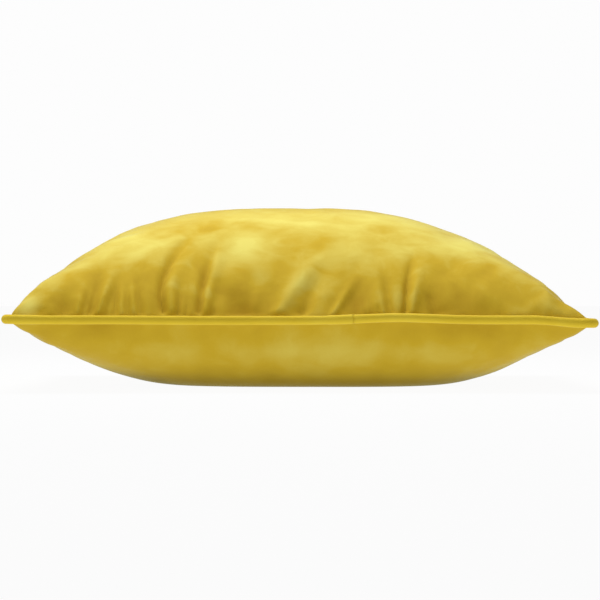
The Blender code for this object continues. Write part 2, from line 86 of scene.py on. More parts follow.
class Wire:
    """One output of a shader node. Arithmetic on wires and numbers adds Math nodes."""

    def __init__(self, graph: "Graph", socket: bpy.types.NodeSocket) -> None:
        """Keeps the graph and the socket.

        Args:
            graph: The graph that the node is in.
            socket: The node's output.
        """
        self.graph = graph
        self.socket = socket

    def _math(self, operation: str, first: Any, second: Any = None) -> "Wire":
        """Adds a Math node of an operation on one or two values."""
        values = {0: first} if second is None else {0: first, 1: second}
        return self.graph.node("ShaderNodeMath", {"operation": operation}, values)

    def __add__(self, other: Any) -> "Wire":
        """This plus other."""
        return self._math("ADD", self, other)

    def __radd__(self, other: Any) -> "Wire":
        """Other plus this."""
        return self._math("ADD", other, self)

    def __sub__(self, other: Any) -> "Wire":
        """This minus other."""
        return self._math("SUBTRACT", self, other)

    def __rsub__(self, other: Any) -> "Wire":
        """Other minus this."""
        return self._math("SUBTRACT", other, self)

    def __mul__(self, other: Any) -> "Wire":
        """This times other."""
        return self._math("MULTIPLY", self, other)

    def __rmul__(self, other: Any) -> "Wire":
        """Other times this."""
        return self._math("MULTIPLY", other, self)

    def __pow__(self, other: Any) -> "Wire":
        """This to the power of other."""
        return self._math("POWER", self, other)

    def least(self, other: Any) -> "Wire":
        """The smaller of this and other."""
        return self._math("MINIMUM", self, other)

    def most(self, other: Any) -> "Wire":
        """The larger of this and other."""
        return self._math("MAXIMUM", self, other)

    def sine(self) -> "Wire":
        """The sine of this."""
        return self._math("SINE", self)

    def clamped(self) -> "Wire":
        """This, kept between 0 and 1."""
        return self.most(0.0).least(1.0)


class Graph:
    """A material's node tree, with one method that makes every node."""

    def __init__(self, name: str) -> None:
        """Starts an empty material.

        Args:
            name: The material's name.
        """
        self.material = bpy.data.materials.new(name)
        self.material.use_nodes = True
        self.tree = self.material.node_tree
        self.tree.nodes.clear()

    def node(
        self,
        kind: str,
        settings: dict[str, Any] | None = None,
        inputs: dict[Any, Any] | None = None,
        out: Any = 0,
    ) -> Wire:
        """Adds a node, sets it up and links it.

        Args:
            kind: The node's type.
            settings: Its own properties; "stops" sets a colour ramp's.
            inputs: Values or wires by socket name or number.
            out: The output to return, by name or number.

        Returns:
            The wire of that output.
        """
        made = self.tree.nodes.new(kind)
        for name, value in (settings or {}).items():
            if name == "stops":
                self._set_stops(made.color_ramp, value)
            else:
                setattr(made, name, value)
        for name, value in (inputs or {}).items():
            if isinstance(value, Wire):
                self.tree.links.new(value.socket, made.inputs[name])
            else:
                made.inputs[name].default_value = value
        return Wire(self, made.outputs[out] if len(made.outputs) else None)

    @staticmethod
    def _set_stops(ramp: bpy.types.ColorRamp, stops: Sequence[tuple[float, Colour]]) -> None:
        """Gives a ramp its stops, from left to right."""
        while len(ramp.elements) < len(stops):
            ramp.elements.new(1.0)
        for element, (place, colour) in zip(ramp.elements, stops):
            element.position = place
            element.color = (*colour, 1.0)

    def _mapped(self, where: Wire, scale: Sequence[float], turn: float) -> Wire:
        """Coordinates that are scaled, and turned about Z by an angle in radians."""
        sockets = {"Vector": where, "Rotation": (0, 0, turn), "Scale": scale}
        return self.node("ShaderNodeMapping", None, sockets)

    def place(self, scale: Sequence[float] = (1, 1, 1), turn: float = 0.0) -> Wire:
        """Object coordinates in metres, scaled and turned."""
        return self._mapped(self.node("ShaderNodeTexCoord", out="Object"), scale, turn)

    def uv(self, scale: Sequence[float] = (1, 1, 1)) -> Wire:
        """The piece's own UV map, scaled."""
        return self._mapped(self.node("ShaderNodeUVMap", {"uv_map": "UVMap"}), scale, 0.0)

    def part(self, where: Wire, axis: str) -> Wire:
        """One part of a coordinate, by its axis."""
        return self.node("ShaderNodeSeparateXYZ", None, {"Vector": where}, axis)

    def noise(self, where: Wire, scale: float, detail: float = 3.0, distortion: float = 0.0) -> Wire:
        """A noise value from 0 to 1, its features about 1 / scale metres wide."""
        sockets = {"Vector": where, "Scale": scale, "Detail": detail, "Distortion": distortion}
        return self.node("ShaderNodeTexNoise", None, sockets, "Fac")

    def attribute(self, name: str) -> Wire:
        """A number stored on the piece's points."""
        return self.node("ShaderNodeAttribute", {"attribute_name": name}, out="Fac")

    def ramp(self, value: Wire, stops: Sequence[tuple[float, Colour]]) -> Wire:
        """A colour ramp read at a value."""
        return self.node("ShaderNodeValToRGB", {"stops": stops}, {"Fac": value}, "Color")

    def range(
        self, value: Wire, low: float, high: float, to_low: float = 0.0, to_high: float = 1.0
    ) -> Wire:
        """A value's stretch from low to high, mapped to another range and clamped."""
        sockets = {"Value": value, "From Min": low, "From Max": high, "To Min": to_low, "To Max": to_high}
        return self.node("ShaderNodeMapRange", {"clamp": True}, sockets, "Result")

    def mix(self, factor: Any, first: Any, second: Any) -> Wire:
        """Two colours mixed."""
        sockets = {0: factor, 6: as_rgba(first), 7: as_rgba(second)}
        return self.node("ShaderNodeMix", {"data_type": "RGBA"}, sockets, 2)

    def bump(self, height: Wire, strength: float, depth: float) -> Wire:
        """A bump of a height field that spans a depth in metres."""
        sockets = {"Strength": strength, "Distance": depth, "Height": height}
        return self.node("ShaderNodeBump", None, sockets)

    def finish(self, **sockets: Any) -> bpy.types.Material:
        """Ends the tree in a Principled shader.

        Args:
            sockets: The shader's sockets, with underscores for the spaces in their names.

        Returns:
            The material.
        """
        named = {name.replace("_", " "): value for name, value in sockets.items()}
        shader = self.node("ShaderNodeBsdfPrincipled", None, {k: as_rgba(v) for k, v in named.items()})
        self.node("ShaderNodeOutputMaterial", None, {"Surface": shader})
        return self.material


def as_rgba(value: Any) -> Any:
    """Gives a colour of three numbers its alpha, and leaves anything else as it is."""
    return (*value, 1.0) if isinstance(value, tuple) and len(value) == 3 else value


# ---- Finishes ---------------------------------------------------------------------------------------------


@dataclass(frozen=True)
class Velvet:
    """Short-pile velvet, brushed unevenly: pale or deep by the way that the pile leans, and also by painted
    shade and painted highlight held on the piece's points.
    """

    name: str = "mustard_velvet"
    deep: Colour = (0.40, 0.235, 0.008)
    body: Colour = (0.575, 0.385, 0.018)
    pale: Colour = (0.74, 0.64, 0.13)
    sheen: Colour = (0.93, 1.0, 0.66)
    sheen_weight: float = 0.60
    sheen_roughness: float = 0.20
    patch_scale: float = 11.0
    stroke_scale: float = 42.0
    pile_scale: float = 1500.0
    patch_share: float = 0.9
    stroke_share: float = 0.55
    pile_share: float = 0.12
    # Share of the point attribute, which holds brushed pile with painted shade and painted highlight.
    nap_and_shade_share: float = 0.5
    mottling: float = 0.72
    under_mottling: float = 0.3
    back_share: float = 0.58
    back_span: tuple[float, float] = (-0.11, 0.04)
    seam_span: tuple[float, float] = (0.0617, 0.0817)

    def material(self) -> bpy.types.Material:
        """Builds the velvet. The attribute on the points leans the pile and holds painted shade and painted
        highlight: above 0 pale, below 0 deep.
        """
        g = Graph(self.name)
        patches = g.noise(g.place(), self.patch_scale, 4.0, 0.8)
        strokes = g.noise(g.place((1.0, 1.0, 0.55), 0.4), self.stroke_scale, 3.0, 0.6)
        pile = g.noise(g.place(), self.pile_scale, 2.0)
        brushed = g.range(g.part(g.place(), "Z"), *self.seam_span, self.under_mottling, self.mottling)
        brushed = brushed * g.range(g.part(g.place(), "Y"), *self.back_span, 1.0, self.back_share)
        lean = ((patches - 0.5) * self.patch_share + (strokes - 0.5) * self.stroke_share) * brushed
        # The point attribute: brushed pile, with painted shade in fold grooves and near the seam, and painted
        # highlight on ridges and the crown.
        nap_and_shade = g.attribute("nap_and_shade") * self.nap_and_shade_share
        lean = (0.5 + lean + nap_and_shade + (pile - 0.5) * self.pile_share).clamped()
        colour = g.ramp(lean, [(0.12, self.deep), (0.50, self.body), (0.88, self.pale)])
        rough = g.range(lean, 0.0, 1.0, 0.92, 0.74)
        fuzz = pile * 0.6 + strokes * 0.4
        return g.finish(
            Base_Color=colour,
            Roughness=rough,
            Normal=g.bump(fuzz, 0.35, 0.0006),
            Specular_IOR_Level=0.10,
            Sheen_Weight=self.sheen_weight,
            Sheen_Roughness=self.sheen_roughness,
            Sheen_Tint=self.sheen,
        )


# The same velvet as the cover, with paler colours: painted light on the piping.
LIGHTENED_PIPING_VELVET = Velvet(
    name="piping_velvet",
    deep=(0.62, 0.41, 0.018),
    body=(0.78, 0.56, 0.034),
    pale=(0.90, 0.76, 0.10),
    mottling=0.4,
    sheen_weight=0.8,
)


@dataclass(frozen=True)
class Cotton:
    """Soft spun cotton with fine fibres running through it."""

    name: str
    colour: Colour
    scale: float

    def material(self) -> bpy.types.Material:
        """Builds the cotton."""
        g = Graph(self.name)
        fibres = g.noise(g.place((1.0, 1.0, 0.3), 0.5), self.scale, 4.0, 1.0)
        # Painted shade: darker where the fibres are low.
        shade = tuple(0.72 * part for part in self.colour)
        colour = g.mix(g.range(fibres, 0.3, 0.7), shade, self.colour)
        rough = g.range(fibres, 0.3, 0.7, 0.95, 0.82)
        return g.finish(
            Base_Color=colour, Roughness=rough, Normal=g.bump(fibres, 0.5, 0.0004), Specular_IOR_Level=0.2
        )


@dataclass(frozen=True)
class Weave:
    """A plain weave of threads along both directions of the piece's own UV map."""

    name: str
    colour: Colour
    pitch: float

    def material(self) -> bpy.types.Material:
        """Builds the weave: over and under threads take turns, the colour is painted darker where the weave
        is low as painted shade, and the threads vary a little at random.
        """
        g = Graph(self.name)
        turns = 2 * math.pi / self.pitch
        warp, weft = ((g.part(g.uv(), axis) * turns).sine() for axis in "XY")
        threads = (warp * weft) * 0.5 + 0.5
        uneven = g.noise(g.uv((1.0, 6.0, 1.0)), 240.0, 3.0)
        height = threads * 0.7 + uneven * 0.3
        # Painted shade: darker where the weave is low.
        shade = tuple(0.62 * part for part in self.colour)
        colour = g.mix(g.range(height, 0.15, 0.75), shade, self.colour)
        rough = g.range(height, 0.1, 0.9, 0.95, 0.78)
        return g.finish(
            Base_Color=colour, Roughness=rough, Normal=g.bump(height, 0.6, 0.00025), Specular_IOR_Level=0.25
        )


@dataclass(frozen=True)
class Moulded:
    """Dyed moulded plastic, a little paler and smoother where it has been rubbed."""

    name: str
    colour: Colour
    rough: float = 0.38

    def material(self) -> bpy.types.Material:
        """Builds the plastic."""
        g = Graph(self.name)
        wear = g.noise(g.place(), 600.0, 3.0)
        pale = tuple(min(1.0, 1.18 * part) for part in self.colour)
        colour = g.mix(g.range(wear, 0.35, 0.7), self.colour, pale)
        rough = g.range(wear, 0.3, 0.7, self.rough + 0.08, self.rough - 0.06)
        return g.finish(Base_Color=colour, Roughness=rough, Normal=g.bump(wear, 0.15, 0.0001))


@dataclass(frozen=True)
class Nickel:
    """Tumbled nickel plate with fine rubbing marks."""

    name: str = "nickel_plate"
    colour: Colour = (0.60, 0.585, 0.55)

    def material(self) -> bpy.types.Material:
        """Builds the metal."""
        g = Graph(self.name)
        rub = g.noise(g.place((1.0, 4.0, 4.0), 0.3), 900.0, 4.0)
        cloud = g.noise(g.place(), 260.0, 2.0)
        dull = tuple(0.70 * part for part in self.colour)
        colour = g.mix(g.range(cloud, 0.3, 0.75), self.colour, dull)
        rough = g.range(rub * 0.6 + cloud * 0.4, 0.3, 0.7, 0.22, 0.42)
        return g.finish(Base_Color=colour, Roughness=rough, Metallic=1.0, Normal=g.bump(rub, 0.12, 0.00008))


@dataclass(frozen=True)
class Satin:
    """Woven satin ribbon for the blank labels, with a fine rib across it."""

    name: str = "label_satin"
    colour: Colour = (0.84, 0.84, 0.81)
    rib: float = 0.0005

    def material(self) -> bpy.types.Material:
        """Builds the ribbon."""
        g = Graph(self.name)
        rib = (g.part(g.uv(), "Y") * (2 * math.pi / self.rib)).sine() * 0.5 + 0.5
        slub = g.noise(g.uv((1.0, 8.0, 1.0)), 300.0, 2.0)
        height = rib * 0.6 + slub * 0.4
        # Painted shade: darker in the hollows of the rib.
        shade = tuple(0.86 * part for part in self.colour)
        colour = g.mix(height, shade, self.colour)
        rough = g.range(height, 0.0, 1.0, 0.55, 0.38)
        return g.finish(Base_Color=colour, Roughness=rough, Normal=g.bump(height, 0.3, 0.0001))


@dataclass(frozen=True)
class Fibre:
    """Lofty hollow fibre, matted into soft tufts."""

    name: str = "fibre"
    colour: Colour = (0.86, 0.86, 0.84)

    def material(self) -> bpy.types.Material:
        """Builds the fibre."""
        g = Graph(self.name)
        tufts = g.noise(g.place(), 70.0, 5.0, 1.5)
        hairs = g.noise(g.place((1.0, 1.0, 3.0), 0.7), 700.0, 3.0, 2.0)
        height = tufts * 0.7 + hairs * 0.3
        # Painted shade: darker where the tufts are low.
        shade = tuple(0.74 * part for part in self.colour)
        colour = g.mix(g.range(height, 0.25, 0.7), shade, self.colour)
        rough = g.range(hairs, 0.2, 0.8, 1.0, 0.88)
        return g.finish(Base_Color=colour, Roughness=rough, Normal=g.bump(height, 0.8, 0.003))


# ---- Mesh tools -------------------------------------------------------------------------------------------


def object_from(name: str, bm: bmesh.types.BMesh, finish: bpy.types.Material) -> bpy.types.Object:
    """Turns a bmesh into a smooth-shaded object at the origin.

    Args:
        name: The piece's name.
        bm: The mesh, which is freed.
        finish: Its material.

    Returns:
        The object.
    """
    mesh = bpy.data.meshes.new(name)
    bm.to_mesh(mesh)
    bm.free()
    mesh.materials.append(finish)
    mesh.shade_smooth()
    made = bpy.data.objects.new(name, mesh)
    bpy.context.scene.collection.objects.link(made)
    return made


def settle(piece: bpy.types.Object, body: Body, slot: str, *nodes: str) -> bpy.types.Object:
    """Lets a piece ride on a body in place of CAD nodes.

    Args:
        piece: The finished piece.
        body: The body it rides on.
        slot: The record's material slot; not used.
        nodes: The CAD nodes it stands for.

    Returns:
        The piece.
    """
    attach(piece, body.value)
    if nodes:
        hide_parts(*nodes)
    LOG.info("%s: %d faces, on %s", piece.name, len(piece.data.polygons), body.value)
    return piece


def thicken(piece: bpy.types.Object, thickness: float) -> None:
    """Gives a sheet its thickness, inwards from its outer face."""
    shell = piece.modifiers.new("thickness", "SOLIDIFY")
    shell.thickness = thickness
    shell.offset = -1


def round_edges(
    bm: bmesh.types.BMesh, edges: Sequence[bmesh.types.BMEdge], width: float, segments: int = 2
) -> list[bmesh.types.BMVert]:
    """Bevels edges, and gives the vertices of the bevel."""
    done = bmesh.ops.bevel(
        bm, geom=edges, offset=width, segments=segments, profile=0.5, affect="EDGES", material=-1,
        clamp_overlap=True,
    )
    return done["verts"]


def verts_of(geometry: Sequence[Any]) -> list[bmesh.types.BMVert]:
    """The vertices among the geometry that an operator made."""
    return [item for item in geometry if isinstance(item, bmesh.types.BMVert)]


def turn_in(bm: bmesh.types.BMesh, rim: Sequence[bmesh.types.BMEdge], inward: float) -> None:
    """Folds a panel's sewn edge in under it, level with the seam.

    Args:
        bm: The panel.
        rim: The sewn edge.
        inward: How far the allowance reaches, as a share of the way from the middle.
    """
    known = {vert for edge in rim for vert in edge.verts}
    for vert in verts_of(bmesh.ops.extrude_edge_only(bm, edges=rim)["geom"]):
        source = next(e.other_vert(vert) for e in vert.link_edges if e.other_vert(vert) in known)
        vert.co = (source.co.x * inward, source.co.y * inward, source.co.z)


def lay_grid(bm: bmesh.types.BMesh, places: Sequence[Sequence[Any]]) -> list[list[bmesh.types.BMVert]]:
    """Adds a grid through places.

    Args:
        bm: The mesh to add to.
        places: The places by row and column.

    Returns:
        The grid's vertices, by row and column.
    """
    rows, columns = len(places), len(places[0])
    grid: list[list[Any]] = [[None] * columns for _ in range(rows)]
    for vert in bmesh.ops.create_grid(bm, x_segments=columns - 1, y_segments=rows - 1, size=1)["verts"]:
        column = round((vert.co.x + 1) / 2 * (columns - 1))
        row = round((vert.co.y + 1) / 2 * (rows - 1))
        grid[row][column] = vert
        vert.co = places[row][column]
    return grid


def smooth_step(value: float, low: float, high: float) -> float:
    """0 below low, 1 above high and a smooth turn between them."""
    t = min(1.0, max(0.0, (value - low) / (high - low)))
    return t * t * (3 - 2 * t)


# ---- The soft form ----------------------------------------------------------------------------------------


# How a fold runs, in parts of its height and of its width
FOLD_FOOT = 0.10
FOLD_FADE = 0.35
FOLD_END = 1.2
FOLD_FOOT_WIDTH = 0.8
FOLD_SPREAD = 0.45
FOLD_REACH = 3


@dataclass(frozen=True)
class Fold:
    """A groove or a ridge that runs up from the front seam, in metres as seen from the front.

    A depth above 0 is a ridge and one below 0 is a groove. The line starts at a place along the seam, and
    lean and curl carry it sideways by the time it has risen to its height.
    """

    start: float
    lean: float
    curl: float
    height: float
    depth: float
    width: float

    def move_at(self, x: float, rise: float) -> float:
        """How far the fold moves the cloth out of the face at a place.

        Args:
            x: The place along the front edge.
            rise: Its height above the seam.

        Returns:
            The move along the surface's normal, in metres.
        """
        t = rise / self.height
        if not 0 < t < FOLD_END:
            return 0.0
        middle = self.start + self.lean * t + self.curl * t * t
        across = (x - middle) / (self.width * (FOLD_FOOT_WIDTH + FOLD_SPREAD * t))
        if abs(across) > FOLD_REACH:
            return 0.0
        shown = smooth_step(t, 0.0, FOLD_FOOT) * (1 - smooth_step(t, FOLD_FADE, FOLD_END))
        return self.depth * shown * math.exp(-across * across)


@dataclass(frozen=True)
class NapShadePatch:
    """A patch that pales or deepens the velvet as seen from the front: its middle, its half sizes, its lean
    and its tilt. Some stand for brushed pile, others for painted shade and painted sheen.
    """

    x: float
    rise: float
    wide: float
    tall: float
    lean: float
    tilt: float = 0.0

    def tone_at(self, x: float, rise: float) -> float:
        """How far it pales or deepens the velvet at a place: above 0 paler and below 0 deeper."""
        across, up = x - self.x, rise - self.rise
        along = (across * math.cos(self.tilt) + up * math.sin(self.tilt)) / self.wide
        beside = (up * math.cos(self.tilt) - across * math.sin(self.tilt)) / self.tall
        return self.lean * math.exp(-along * along - beside * beside)


FRONT_FOLDS = (
    Fold(-0.1960, 0.006, 0.0, 0.030, -0.0014, 0.0050),
    Fold(-0.1850, 0.004, 0.0, 0.030, 0.0016, 0.0026),
    Fold(-0.1800, 0.004, 0.0, 0.026, -0.0015, 0.0016),
    Fold(-0.1745, 0.009, 0.0, 0.044, -0.0022, 0.0036),
    Fold(-0.1680, 0.010, 0.0, 0.038, 0.0026, 0.0036),
    Fold(-0.1600, 0.004, 0.0, 0.026, -0.0014, 0.0018),
    Fold(-0.1535, 0.000, 0.0, 0.036, -0.0020, 0.0030),
    Fold(-0.1475, -0.002, 0.0, 0.030, 0.0016, 0.0026),
    Fold(-0.1415, -0.003, 0.0, 0.024, -0.0013, 0.0016),
    Fold(-0.1370, -0.004, 0.0, 0.032, 0.0016, 0.0026),
    Fold(-0.1310, -0.008, 0.0, 0.040, -0.0022, 0.0028),
    Fold(-0.1240, -0.004, 0.0, 0.030, 0.0012, 0.0030),
    Fold(-0.1110, -0.032, 0.0525, 0.075, -0.0036, 0.0040),
    Fold(-0.1110, -0.032, 0.0525, 0.070, -0.0016, 0.0013),
    Fold(-0.1045, -0.026, 0.0480, 0.064, 0.0019, 0.0052),
    Fold(-0.1010, 0.001, 0.0, 0.028, -0.0028, 0.0024),
    Fold(-0.0950, 0.001, 0.0, 0.017, -0.0015, 0.0020),
    Fold(-0.0838, -0.001, 0.0125, 0.062, -0.0034, 0.0034),
    Fold(-0.0826, -0.001, 0.0120, 0.058, -0.0016, 0.0013),
    Fold(-0.0775, 0.000, 0.0140, 0.062, 0.0022, 0.0052),
    Fold(-0.0735, 0.004, 0.0, 0.034, -0.0024, 0.0048),
    Fold(-0.0450, 0.000, 0.0, 0.034, -0.0026, 0.0200),
    Fold(-0.0400, 0.006, 0.0, 0.030, 0.0011, 0.0042),
    Fold(-0.0200, 0.036, 0.004, 0.060, 0.0030, 0.0085),
    Fold(0.0010, 0.014, 0.003, 0.040, -0.0026, 0.0062),
    Fold(0.0265, 0.021, 0.0, 0.036, 0.0028, 0.0040),
    Fold(0.0455, 0.002, 0.0, 0.034, -0.0020, 0.0110),
    Fold(0.0515, -0.002, 0.0, 0.019, 0.0012, 0.0018),
    Fold(0.0566, -0.002, 0.0, 0.018, 0.0012, 0.0018),
    Fold(0.0640, -0.004, 0.0, 0.026, 0.0015, 0.0021),
    Fold(0.0700, -0.006, 0.0, 0.028, 0.0017, 0.0024),
    Fold(0.0755, -0.004, -0.002, 0.044, -0.0030, 0.0034),
    Fold(0.0868, 0.003, 0.006, 0.052, -0.0034, 0.0034),
    Fold(0.0862, 0.003, 0.006, 0.050, -0.0016, 0.0013),
    Fold(0.0920, 0.008, 0.003, 0.046, 0.0024, 0.0045),
    Fold(0.1110, -0.004, 0.0, 0.032, -0.0022, 0.0040),
    Fold(0.1145, 0.000, 0.0, 0.048, -0.0017, 0.0090),
    Fold(0.1380, 0.000, 0.0, 0.026, -0.0012, 0.0070),
    Fold(0.1660, 0.003, 0.0, 0.022, -0.0010, 0.0060),
)

# Patches on the front of the top that pale or deepen the velvet. Some stand for brushed pile; the paler upper
# sides and crown are painted sheen, and the darker band over the seam and the patch beside the big ridge are
# painted shade.
FRONT_NAP_AND_SHADE = (
    # Painted sheen: the upper front at both sides and the crown are painted paler.
    NapShadePatch(-0.150, 0.066, 0.060, 0.018, 0.30, 0.55),
    NapShadePatch(0.135, 0.068, 0.070, 0.020, 0.42, -0.50),
    NapShadePatch(0.060, 0.090, 0.110, 0.014, 0.65),
    NapShadePatch(-0.070, 0.094, 0.070, 0.010, 0.30),
    NapShadePatch(-0.048, 0.062, 0.018, 0.013, 0.55, 0.5),
    NapShadePatch(0.004, 0.056, 0.008, 0.015, 0.12, 1.3),
    NapShadePatch(-0.066, 0.044, 0.014, 0.014, 0.34),
    NapShadePatch(-0.034, 0.036, 0.012, 0.010, 0.20),
    NapShadePatch(0.082, 0.055, 0.022, 0.011, 0.42),
    NapShadePatch(0.034, 0.068, 0.012, 0.008, 0.20),
    NapShadePatch(-0.167, 0.043, 0.016, 0.010, -0.30, 0.6),
    NapShadePatch(-0.198, 0.026, 0.014, 0.008, -0.25, 0.6),
    NapShadePatch(-0.076, 0.080, 0.014, 0.006, -0.42, 0.5),
    NapShadePatch(-0.044, 0.078, 0.012, 0.007, -0.42),
    # Painted shade beside the big ridge.
    NapShadePatch(-0.007, 0.066, 0.014, 0.012, -0.24, -0.6),
    NapShadePatch(0.020, 0.066, 0.016, 0.010, -0.28, 0.4),
    NapShadePatch(-0.002, 0.024, 0.026, 0.016, 0.26),
    NapShadePatch(0.165, 0.034, 0.040, 0.012, -0.14, -0.4),
    NapShadePatch(-0.160, 0.030, 0.050, 0.012, -0.25, 0.4),
    # Painted shade: a darker band just above the seam.
    NapShadePatch(-0.045, 0.010, 0.045, 0.016, -0.24),
    NapShadePatch(0.050, 0.012, 0.018, 0.014, -0.45),
    NapShadePatch(0.115, 0.012, 0.030, 0.016, -0.30),
    NapShadePatch(-0.225, 0.010, 0.010, 0.008, 0.60, 0.7),
)

# Painted light and shade on the front of the underside: darker just below the seam at the right and the left,
# paler lower down in the middle.
UNDER_PAINTED_LIGHT_AND_SHADE = (
    NapShadePatch(0.135, -0.010, 0.055, 0.011, -0.34),
    NapShadePatch(-0.168, -0.008, 0.022, 0.009, -0.30),
    NapShadePatch(0.000, -0.030, 0.110, 0.011, 0.26),
)


@dataclass(frozen=True)
class Profile:
    """How one face swells: a higher power stays full for longer, and a lower root rises steeper."""

    left: tuple[float, float]
    right: tuple[float, float]
    ends: tuple[float, float]
    meeting: float

    def swell(self, u: float, v: float) -> float:
        """How full the face is at a grid point, from 0 at the seam to 1 at the crown."""
        power, root = self.left if u < 0 else self.right
        side = 1 - abs(u) ** power
        end = 1 - abs(v) ** self.ends[0]
        if min(side, end) <= 1e-9:
            return 0.0
        side, end = side**root, end ** self.ends[1]
        return (side**-self.meeting + end**-self.meeting - 1) ** (-1 / self.meeting)


@dataclass
class PillowForm:
    """The filled pillow's shape: a plan with drawn-in edges, and how far each face swells over it."""

    half: float
    seam_z: float
    height: float
    cord_radius: float
    zip_frame: Matrix
    piping_swell: float = 0.0003
    edge_pull: float = 0.0108
    side_pull: float = 0.0060
    back_pull: float = 0.0015
    pull_power: float = 2.5
    corner_radius: float = 0.0066
    tip_reach: float = 0.0016
    reach_span: tuple[float, float] = (0.55, 0.98)
    top: Profile = Profile((3.26, 0.77), (2.76, 0.98), (1.9, 0.80), 2.4)
    under: Profile = Profile((2.87, 0.77), (3.40, 0.84), (3.6, 1.15), 1.6)
    under_drop: float = 0.0690
    seam_gap: float = 0.0010
    rest_blend: float = 0.006
    tip_droop: float = 0.0026
    droop_span: tuple[float, float] = (0.80, 0.98)
    seam_wave: float = 0.0007
    wave_scale: float = 9.0
    wave_level: float = 3.7
    front_sag: float = 0.0020
    sag_span: tuple[float, float] = (-1.3, -0.75)
    front_span: tuple[float, float] = (-1.0, -0.6)
    front_rise: float = 0.0021
    front_rise_x: float = 0.080
    front_rise_width: float = 0.042
    zip_plane: float = 0.00155
    zip_strip: float = 0.0131
    zip_inset: float = 0.029
    zip_flat: float = 0.1768
    zip_fade: float = 0.26

    @classmethod
    def from_frame(cls) -> "PillowForm":
        """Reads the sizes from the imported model."""
        low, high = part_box("piping_wrap")
        panel_low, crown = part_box("top_panel")
        radius = (high.z - low.z) / 2
        return cls(-panel_low.x, (low.z + high.z) / 2, crown.z, radius + cls.piping_swell, frame_of_zip())

    def plan(self, u: float, v: float, outset: float = 0.0) -> tuple[float, float]:
        """The place of a grid point seen from above.

        Args:
            u: From -1 at the left edge to 1 at the right.
            v: From -1 at the front edge to 1 at the back.
            outset: How far the outline lies outside the panel's own.

        Returns:
            x and y.
        """
        half = self.half + outset
        corner = (self.corner_radius + outset) / half
        over_u, over_v = ((abs(c) - 1 + corner) / corner for c in (u, v))
        if over_u > 0 and over_v > 0:
            rounding = max(over_u, over_v) / math.hypot(over_u, over_v)
            u = math.copysign(1 - corner + corner * over_u * rounding, u)
            v = math.copysign(1 - corner + corner * over_v * rounding, v)
        pull_y = self.edge_pull if v < 0 else self.back_pull
        reach_x, reach_y = (self.tip_reach * smooth_step(abs(c), *self.reach_span) for c in (v, u))
        x = u * (half + reach_x - self.side_pull * (1 - abs(v) ** self.pull_power))
        y = v * (half + reach_y - pull_y * (1 - abs(u) ** self.pull_power))
        return x, y

    def seam_height(self, x: float, y: float) -> float:
        """The height of the piping's middle: it waves, the front sags and the right-hand tips droop."""
        place = Vector((x * self.wave_scale, y * self.wave_scale, self.wave_level))
        wave = noise.noise(place) * self.seam_wave
        rise = self.front_rise * math.exp(-(((x - self.front_rise_x) / self.front_rise_width) ** 2))
        sag = self.front_sag * smooth_step(x / self.half, *self.sag_span)
        front = 1 - smooth_step(y / self.half, *self.front_span)
        droop = self.tip_droop * smooth_step(x / self.half, *self.droop_span)
        return self.seam_z + wave + front * (rise - sag) - droop

    def point(self, u: float, v: float, side: Side) -> Vector:
        """A point of the velvet's outer face.

        Args:
            u: From -1 at the left edge to 1 at the right.
            v: From -1 at the front edge to 1 at the back.
            side: The face.

        Returns:
            The point, in metres.
        """
        x, y = self.plan(u, v)
        seam = self.seam_height(x, y)
        if side is Side.TOP:
            low = seam + self.seam_gap
            return Vector((x, y, low + (self.height - low) * self.top.swell(u, v)))
        place = Vector((x, y, seam - self.seam_gap - self.under_drop * self.under.swell(u, v)))
        place = self._held_by_zip(place, v)
        if place.z < self.rest_blend:
            place.z = max(0.0, place.z + self.rest_blend) ** 2 / (4 * self.rest_blend)
        return place

    def grid(self, lines_u: Sequence[float], lines_v: Sequence[float], side: Side) -> np.ndarray:
        """The points of a face on a grid of lines from -1 to 1, by row, column and coordinate."""
        return np.array([[self.point(u, v, side) for u in lines_u] for v in lines_v])

    def strip_lines(self) -> tuple[float, float]:
        """The grid places of the outer and the inner edge of the zip's flat strip."""
        return tuple(1 - (self.zip_inset + way * self.zip_strip) / self.half for way in (-1, 1))

    def zip_hold(self, x: float, v: float) -> float:
        """How firmly the zip holds the underside at a place, from 0 to 1."""
        inner = self.strip_lines()[1]
        near_end = smooth_step(abs(x), self.zip_flat, self.half)
        return smooth_step(v, inner - self.zip_fade, inner) * (1 - near_end)

    def _held_by_zip(self, free: Vector, v: float) -> Vector:
        """Draws a point of the underside to the flat strip that the zip keeps along the back edge."""
        outer, inner = self.strip_lines()
        held = self.zip_hold(free.x, v)
        if held <= 0:
            return free
        across = min(v, outer)
        place = self.zip_strip * (1 - 2 * (across - inner) / (outer - inner))
        flat = self.zip_frame @ Vector((free.x, place, self.zip_plane))
        if v > outer:
            edge = Vector((free.x, self.plan(free.x / self.half, 1.0)[1], self.seam_z - self.seam_gap))
            flat = flat.lerp(edge, (v - outer) / (1 - outer))
        return free.lerp(flat, held)


def frame_of_zip() -> Matrix:
    """The zip's frame at the middle of its tapes: X along it, Y towards the front and Z outwards."""
    middles = []
    for name in ("zip_tape_front", "zip_tape_back"):
        low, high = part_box(name)
        middles.append((low + high) / 2)
    along = Vector((1, 0, 0))
    across = (middles[0] - middles[1]).normalized()
    turn = Matrix((along, across, along.cross(across))).transposed().to_4x4()
    return Matrix.Translation((middles[0] + middles[1]) / 2) @ turn


